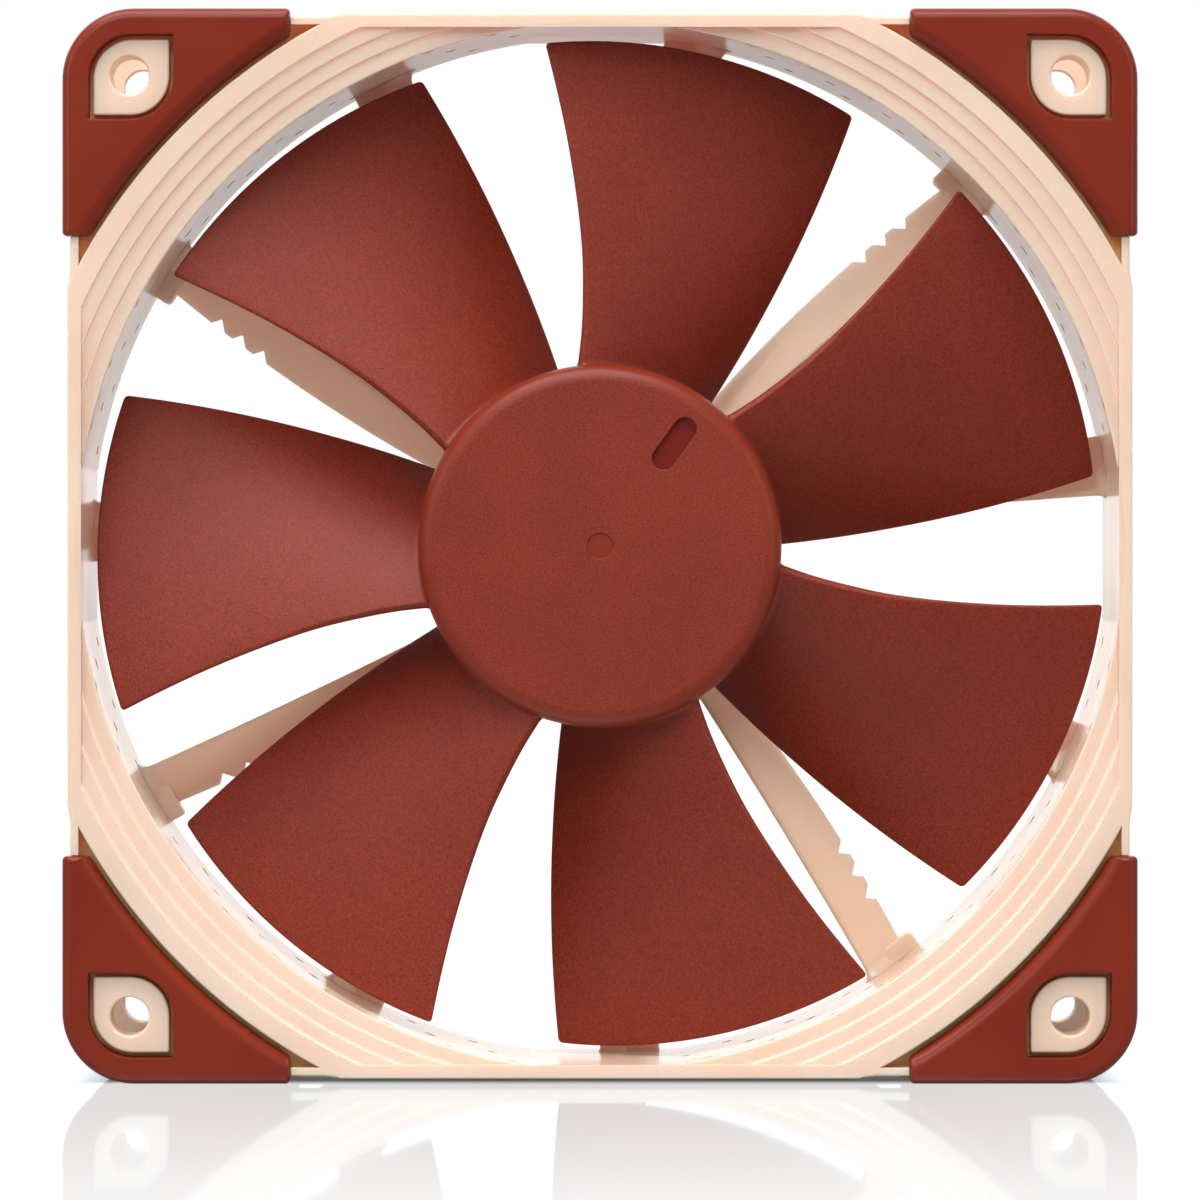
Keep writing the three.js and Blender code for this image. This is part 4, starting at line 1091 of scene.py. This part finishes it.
def vane_point(radius, chord, face):
    length = section_length(vane_surface, radius)
    edge = min(chord, 1 - chord) * length
    taper = 0.7 + 0.3 * math.sqrt(math.sin(math.pi * min(max(chord, 0), 1)))
    fillet = max(swell(radius - HUB_R, 1.0), swell(BORE_R - radius, 1.4))
    half = (VANE_THICKNESS / 2 * taper + 0.7 * fillet) * rounded(edge, 0.4)
    wide = chord + (2 * chord - 1) * 0.5 * fillet / length
    point = on_cylinder(vane_surface, radius, wide, face * half)
    point.z = max(min(point.z, BASE_TOP - 0.02), VANE_REAR - 0.25)
    return point


vane_radii = [VANE_ROOT_R, 20.3, 20.4, 20.55, 20.8, 21.2, 22.0]
vane_radii += [mix(24, 55, i / 18) for i in range(19)]
vane_radii += [56.4, 57.2, 57.5, 57.8, 58.05, 58.25, 58.4, 58.5, 58.9]
vane = rolled("vane", 40, vane_radii, vane_point)
print("vane", round(section_length(vane_surface, 40), 1), "mm wide at 40 mm from the axis")

# %% Notches and foot
NOTCH_R = (44.6, 47.6, 50.6)
NOTCH_DEPTH = 1.3
NOTCH_HALF = 1.1
for radius in NOTCH_R:
    edge = radius * math.radians(rear_turn(radius)) + VANE_THICKNESS / 2
    bpy.ops.mesh.primitive_cylinder_add(vertices=3, radius=1, depth=8, location=(0, 0, -9))
    wedge = bpy.context.object
    wedge.name = "notch"
    settle(wedge)
    low, high = edge - NOTCH_DEPTH, edge + NOTCH_DEPTH
    corners = ((0, low), (2 * NOTCH_HALF, high), (-2 * NOTCH_HALF, high))
    for v in wedge.data.vertices:
        corner = corners[v.index // 2]
        v.co.x, v.co.y = radius + corner[0], corner[1]
    pick(wedge)
    bpy.ops.object.mode_set(mode="EDIT")
    face_outwards()
    bevel_edges(wedge, lambda a, b: is_upright(a, b) and abs(a.y - low) < 1e-3, 0.25, 3)
    cut(vane, wedge)
FOOT_SHIFT = 0.5
FOOT_TOP = VANE_REAR + 3.4
foot_from, foot_to = FOOT_SHIFT - FOOT_WIDTH / 2, FOOT_SHIFT + FOOT_WIDTH / 2
foot = block("foot", (BORE_R - 2.0, foot_from, VANE_REAR), (BORE_R + 0.4, foot_to, FOOT_TOP))
bevel_edges(foot, lambda a, b: is_upright(a, b) and a.x < BORE_R, 0.5, 4)
bevel_edges(
    foot, lambda a, b: min(a.z, b.z) > FOOT_TOP - 0.1 and min(a.x, b.x) < BORE_R, 0.35, 3
)
join(vane, foot)
print("notches", NOTCH_DEPTH, "mm deep")

# %% [markdown]
# ## Frame: motor base
# In the middle the vanes carry a shallow cup, which holds the circuit board and the bearing. It
# is round, so it is turned on the lathe too, with soft edges where it can be seen.

# %% Motor base
BASE_REAR = -12.0
BASE_INNER_R = HUB_R - 1.2
LABEL_RECESS = 0.5
BASE_WELL = ((17.6, -9.7), (17.6, -10.5))  # radius and level: the board's ledge, then the floor
SOCKET = ((6.26, -10.5), (6.26, -7.6), (4.76, -7.6), (4.76, -11.0))  # the bearing's
base_profile = [(0, BASE_REAR + LABEL_RECESS), (HUB_R - 1.0, BASE_REAR + LABEL_RECESS)]
base_profile += arc((HUB_R - 1.0 + 0.15, BASE_REAR + 0.15), 0.15, 180, 270, 3)
base_profile += arc((HUB_R - 0.5, BASE_REAR + 0.5), 0.5, 270, 360, 6)
base_profile += arc((HUB_R - 0.25, BASE_TOP - 0.25), 0.25, 0, 90, 4)
base_profile += arc((BASE_INNER_R + 0.2, BASE_TOP - 0.2), 0.2, 90, 180, 3)
base_profile += [(BASE_INNER_R, BASE_WELL[0][1]), *BASE_WELL, *SOCKET, (0, SOCKET[-1][1])]
base = turned("base", base_profile, 192)
spider, *other_vanes = turned_copies(vane, VANE_TURNS)
join(spider, *other_vanes)
cut(spider, rod("hollow", HUB_R - 0.6, -14, -5, 192))
join(drum, spider, base)
smooth(drum)
finish_piece(drum, "frame_moulding", beige_pbt, "frame_body", "frame", "frame")

# %% [markdown]
# ## Corner pads
# Eight silicone pads keep the fan from humming against its case. One pad is a block in its
# corner: its outer corner is rounded by 8 mm, a cylinder cuts the side that follows the shroud,
# and its upper edges get wide soft bevels, narrower at the ends of its two legs. A leaf-shaped
# window then lets the frame's boss through.

# %% One pad
PAD_ARC_R = 66.7
HALF = 60.0
PAD_FRONT = 12.5
PAD_CORNER_R = 8.0
PAD_EDGE = 1.6
WINDOW_GAP = 0.5
WINDOW_EDGE = 0.2


def corner_pad(name, thickness):
    """The pad in the +X +Y corner, with its face at the front."""
    seat = PAD_FRONT - thickness
    o = block(name, (PAD_REACH, PAD_REACH, seat), (HALF, HALF, PAD_FRONT))
    bevel_edges(o, lambda a, b: is_upright(a, b) and a.x + a.y > 2 * HALF - 1, PAD_CORNER_R, 24)
    cut(o, rod("shroud_side", PAD_ARC_R, seat - 1, PAD_FRONT + 1, 360))
    weights = o.data.attributes.new("bevel_weight_edge", "FLOAT", "EDGE")
    sides = [[] for _ in o.data.edges]
    edge_of = {key: i for i, key in enumerate(o.data.edge_keys)}
    for face in o.data.polygons:
        for key in face.edge_keys:
            sides[edge_of[key]].append(face.normal)
    for i, (a, b) in enumerate(o.data.edge_keys):
        if len(sides[i]) == 2 and sides[i][0].dot(sides[i][1]) > 0.9:
            continue
        ends = (o.data.vertices[a].co, o.data.vertices[b].co)
        at_end = all(min(p.x, p.y) < PAD_REACH + 1e-3 for p in ends)
        on_arc = all(math.hypot(p.x, p.y) < PAD_ARC_R + 0.01 for p in ends)
        if min(p.z for p in ends) > PAD_FRONT - 1e-3:
            weights.data[i].value = 0.36 if at_end else 1.0 if on_arc else 0.75
        elif max(p.z for p in ends) < seat + 1e-3:
            weights.data[i].value = 0.1
        elif at_end:
            weights.data[i].value = 0.32
    size = {"width": PAD_EDGE, "segments": 6}
    with_modifier(o, "BEVEL", limit_method="WEIGHT", use_clamp_overlap=True, **size)
    half = BOSS_HALF + WINDOW_GAP
    window = leaf("window", half, BOSS_ROUND + WINDOW_GAP, seat - 1, PAD_FRONT + 0.2, 0)
    for v in window.data.vertices:
        if v.co.z > PAD_FRONT:
            v.co.z = PAD_FRONT - WINDOW_EDGE
    steps = []
    for rise, grow in ((0.6, 0.12), (0.3, 0.25), (0.1, 0.6), (1.0, 0.6)):
        wider = 1 + grow * WINDOW_EDGE / half
        steps.append((rise * WINDOW_EDGE, wider, wider))
    flare(window, (BOSS_AT, BOSS_AT), steps)
    return cut(o, window)


def corner_pads(where, thickness, names):
    """Four pads, one for each corner, of the front or the rear set."""
    pads = turned_copies(smooth(corner_pad(where, thickness)), FOUR_CORNERS)
    for pad, corner in zip(pads, names):
        if where == "rear":
            pad.data.transform(Matrix.Rotation(math.pi, 4, "X"))
        node = f"{where}_pad_{corner}"
        finish_piece(pad, "silicone_" + node, silicone, "frame_body", "pads", node)


FRONT_PAD, REAR_PAD = 3.0, 2.2
corner_pads("front", FRONT_PAD, ("top_right", "top_left", "bottom_left", "bottom_right"))
corner_pads("rear", REAR_PAD, ("bottom_right", "bottom_left", "top_left", "top_right"))

# %% [markdown]
# ## Impeller: hub
# The hub is a cup that turns round the motor. Its front edge is rounded by 2 mm and polished, and
# its face is grained. Near the edge there is a round-ended recess for balancing, and in the
# middle the dimple where the moulding gate was.

# %% The hub's cup
HUB_RIM = -5.3
HUB_ROUND = 2.0
HUB_WALL = 1.5
HUB_FACE = 1.6
hub_profile = [(HUB_R - HUB_WALL, HUB_RIM + 0.15)]
hub_profile += arc((HUB_R - HUB_WALL + 0.15, HUB_RIM + 0.15), 0.15, 180, 270, 3)
hub_profile += arc((HUB_R - 0.3, HUB_RIM + 0.3), 0.3, 270, 360, 4)
hub_profile += arc((HUB_R - HUB_ROUND, HUB_TOP - HUB_ROUND), HUB_ROUND, 0, 90, 14)
hub_profile += [(0, HUB_TOP), (0, HUB_TOP - HUB_FACE), (HUB_R - HUB_WALL, HUB_TOP - HUB_FACE)]
hub_profile += [(HUB_R - HUB_WALL, HUB_RIM + 0.15)]
hub = turned("hub", hub_profile, 240)
print("hub", 2 * HUB_R, "mm across")

# %% [markdown]
# ## Impeller: blades
# Seven blades sweep forward: the leading edge bows back near the hub and comes forward again at
# the tip. A blade is thickest near the hub, thin at its edges, and its tip is cut to the bore's
# circle with tiny rounded corners. At the hub it swells into a fillet.

# %% One blade
TIP_R = 56.8
BLADES = 7
ROOT_R = HUB_R - HUB_WALL / 2
BLADE_THICKNESS = (2.4, 1.4)  # at the hub and at the tip
BLADE_TURN, BLADE_SWEEP = 1.0, 7.1  # degrees: the trailing edge, and what it gains at the tip
BLADE_CAMBER = 0.25
LEAD_DROP = (2.2, 5.3)  # the leading edge, below the hub's face
TRAIL_LIFT = (0.5, 1.4)  # the trailing edge, above the hub's rim
# The leading edge: a share of the blade's span, and degrees.
LEADING_EDGE = ((0, 45.6), (0.11, 43.4), (0.24, 42.3), (0.4, 42.0), (0.67, 43.0), (1, 44.8))


def smooth_line(points, steps=40):
    """A smooth line through points, as many short steps (Catmull-Rom)."""
    made = []
    for i in range(len(points) - 1):
        before = points[max(i - 1, 0)]
        a, b = points[i], points[i + 1]
        after = points[min(i + 2, len(points) - 1)]
        for k in range(steps):
            t = k / steps
            spot = []
            for p0, p1, p2, p3 in zip(before, a, b, after):
                v0, v1 = (p2 - p0) / 2, (p3 - p1) / 2
                cubic = 2 * p1 - 2 * p2 + v0 + v1
                square = 3 * p2 - 3 * p1 - 2 * v0 - v1
                spot.append(cubic * t**3 + square * t**2 + v0 * t + p1)
            made.append(tuple(spot))
    return made + [points[-1]]


leading_line = smooth_line(LEADING_EDGE)


def leading_turn(share):
    """The leading edge's turn at a share of the blade's span."""
    for (x0, y0), (x1, y1) in zip(leading_line, leading_line[1:]):
        if share <= x1:
            return mix(y0, y1, (share - x0) / (x1 - x0) if x1 > x0 else 0)
    return leading_line[-1][1]


def blade_surface(radius, chord):
    """The middle of a blade: turn in degrees and level. Chord runs from the trailing edge."""
    share = (radius - ROOT_R) / (TIP_R - ROOT_R)
    back = 1 - chord
    ramp = back + BLADE_CAMBER * (back * back - back)
    lead_level = HUB_TOP - mix(*LEAD_DROP, share)
    trail_level = HUB_RIM + mix(*TRAIL_LIFT, share)
    trail_turn = BLADE_TURN + BLADE_SWEEP * share
    return mix(trail_turn, leading_turn(share), chord), mix(lead_level, trail_level, ramp)


def blade_point(radius, chord, face):
    share = (radius - ROOT_R) / (TIP_R - ROOT_R)
    length = section_length(blade_surface, radius)
    full = mix(*BLADE_THICKNESS, share)
    edge = min(chord, 1 - chord) * length
    taper = 0.35 + 0.65 * math.sqrt(math.sin(math.pi * min(max(chord, 0), 1)))
    fillet = swell(radius - HUB_R, 0.7)
    half = (full / 2 * taper + 0.45 * fillet) * rounded(edge, 0.3 + 0.4 * fillet)
    half = max(half - swell(TIP_R - radius, 0.28), 0)
    inset = swell(TIP_R - radius, 0.5) - 0.25 * fillet
    wide = 0.5 + (chord - 0.5) * (1 - 2 * inset / length)
    point = on_cylinder(blade_surface, radius, wide, face * half)
    point.z = max(point.z, HUB_RIM + 0.02)
    return point


blade_radii = [ROOT_R, 20.2, 20.32, 20.42, 20.56, 20.75, 21.0, 21.3, 21.7]
blade_radii += [mix(22.4, 56.0, i / 30) for i in range(31)]
blade_radii += [TIP_R - d for d in (0.5, 0.4, 0.3, 0.2, 0.12, 0.06, 0.02, 0)]
blade = rolled("blade", 72, blade_radii, blade_point)
join(hub, *turned_copies(blade, [360 * i / BLADES for i in range(BLADES)]))
print("blade", round(section_length(blade_surface, TIP_R), 1), "mm wide at its tip")

# %% The recess and the gate's dimple
RECESS_TURN = 54
RECESS_IN, RECESS_OUT = 12.1, 16.1  # the radii of its two ends' centres
RECESS_R, RECESS_DEPTH, RECESS_LIP = 1.3, 0.7, 0.12
low_corner = (RECESS_IN - RECESS_R, -RECESS_R, HUB_TOP - RECESS_DEPTH)
recess = block("recess", low_corner, (RECESS_OUT + RECESS_R, RECESS_R, HUB_TOP - RECESS_LIP))
bevel_edges(recess, is_upright, RECESS_R - 0.001, 14)
bevel_edges(recess, lambda a, b: max(a.z, b.z) < HUB_TOP - RECESS_DEPTH + 0.1, 0.2, 3)
steps = []
for rise, wider in ((0.06, 0.015), (0.04, 0.035), (0.02, 0.07), (0.2, 0.0)):
    half_length = RECESS_R + (RECESS_OUT - RECESS_IN) / 2
    steps.append((rise, 1 + wider / half_length, 1 + wider / RECESS_R))
flare(recess, ((RECESS_IN + RECESS_OUT) / 2, 0), steps)
gate = turned(
    "gate",
    [(0, HUB_TOP - 0.22), (1.4, HUB_TOP - 0.22), (1.5, HUB_TOP - 0.06), (2.25, HUB_TOP - 0.04)]
    + [(2.35, HUB_TOP + 0.5), (0, HUB_TOP + 0.5)],
    96,
)
cut(hub, *turned_copies(recess, (RECESS_TURN,)), gate)
smooth(hub, 40)
finish_piece(hub, "impeller_moulding", impeller_plastic, "rotor_body", "impeller", "impeller")

# %% [markdown]
# ## Rear label
# A film label closes the motor's rear. Here it is left blank: a satin polyester disc with a
# printed ring near its edge, and no lettering.

# %% Label film
LABEL_R = 19.0
RING_R = (16.6, 17.0)  # the printed ring's inner and outer edge
RING_SCALE = 20
material, tree = new_material("satin_polyester_label_film")
place = add(tree, "ShaderNodeTexCoord")
away, _ = from_axis(tree, place)
share = calculate(tree, "DIVIDE", away, RING_SCALE * MM)
ring = add(tree, "ShaderNodeValToRGB", inputs={"Fac": share})
steps = ring.color_ramp
steps.interpolation = "CONSTANT"
steps.elements[0].position, steps.elements[0].color = 0, linear("#5E2A20")
steps.elements[1].position, steps.elements[1].color = RING_R[0] / RING_SCALE, linear("#D9BCA4")
steps.elements.new(RING_R[1] / RING_SCALE).color = linear("#5E2A20")
fibres = {"Vector": place.outputs["Object"], "Scale": per_mm(0.5), "Detail": 3}
fibre = add(tree, "ShaderNodeTexNoise", inputs=fibres).outputs["Fac"]
satin = {"Value": fibre, "To Min": 0.3, "To Max": 0.42}
satin = add(tree, "ShaderNodeMapRange", inputs=satin)
shade = ramp_between(tree, fibre, 0.3, 0.7, 0.93, 1.07)
printed = {0: ring.outputs["Color"], "Scale": shade}
printed = add(tree, "ShaderNodeVectorMath", {"operation": "SCALE"}, printed)
bump = add(tree, "ShaderNodeBump", inputs={"Height": fibre, "Distance": 0.004 * MM})
shader = add(
    tree,
    "ShaderNodeBsdfPrincipled",
    inputs={
        "Base Color": printed.outputs[0],
        "Roughness": satin.outputs["Result"],
        "Normal": bump.outputs["Normal"],
        "IOR": 1.57,
    },
)
add(tree, "ShaderNodeOutputMaterial", inputs={"Surface": shader.outputs[0]})

# %% The label's disc
label = turned(
    "label",
    [(0, BASE_REAR + 0.2), (0, BASE_REAR)]
    + arc((LABEL_R - 0.08, BASE_REAR + 0.08), 0.08, 270, 360, 3)
    + [(LABEL_R, BASE_REAR + 0.2), (0, BASE_REAR + 0.2)],
    160,
)
smooth(label)
finish_piece(label, "label_film", material, "frame_body", "label", "rear_label")
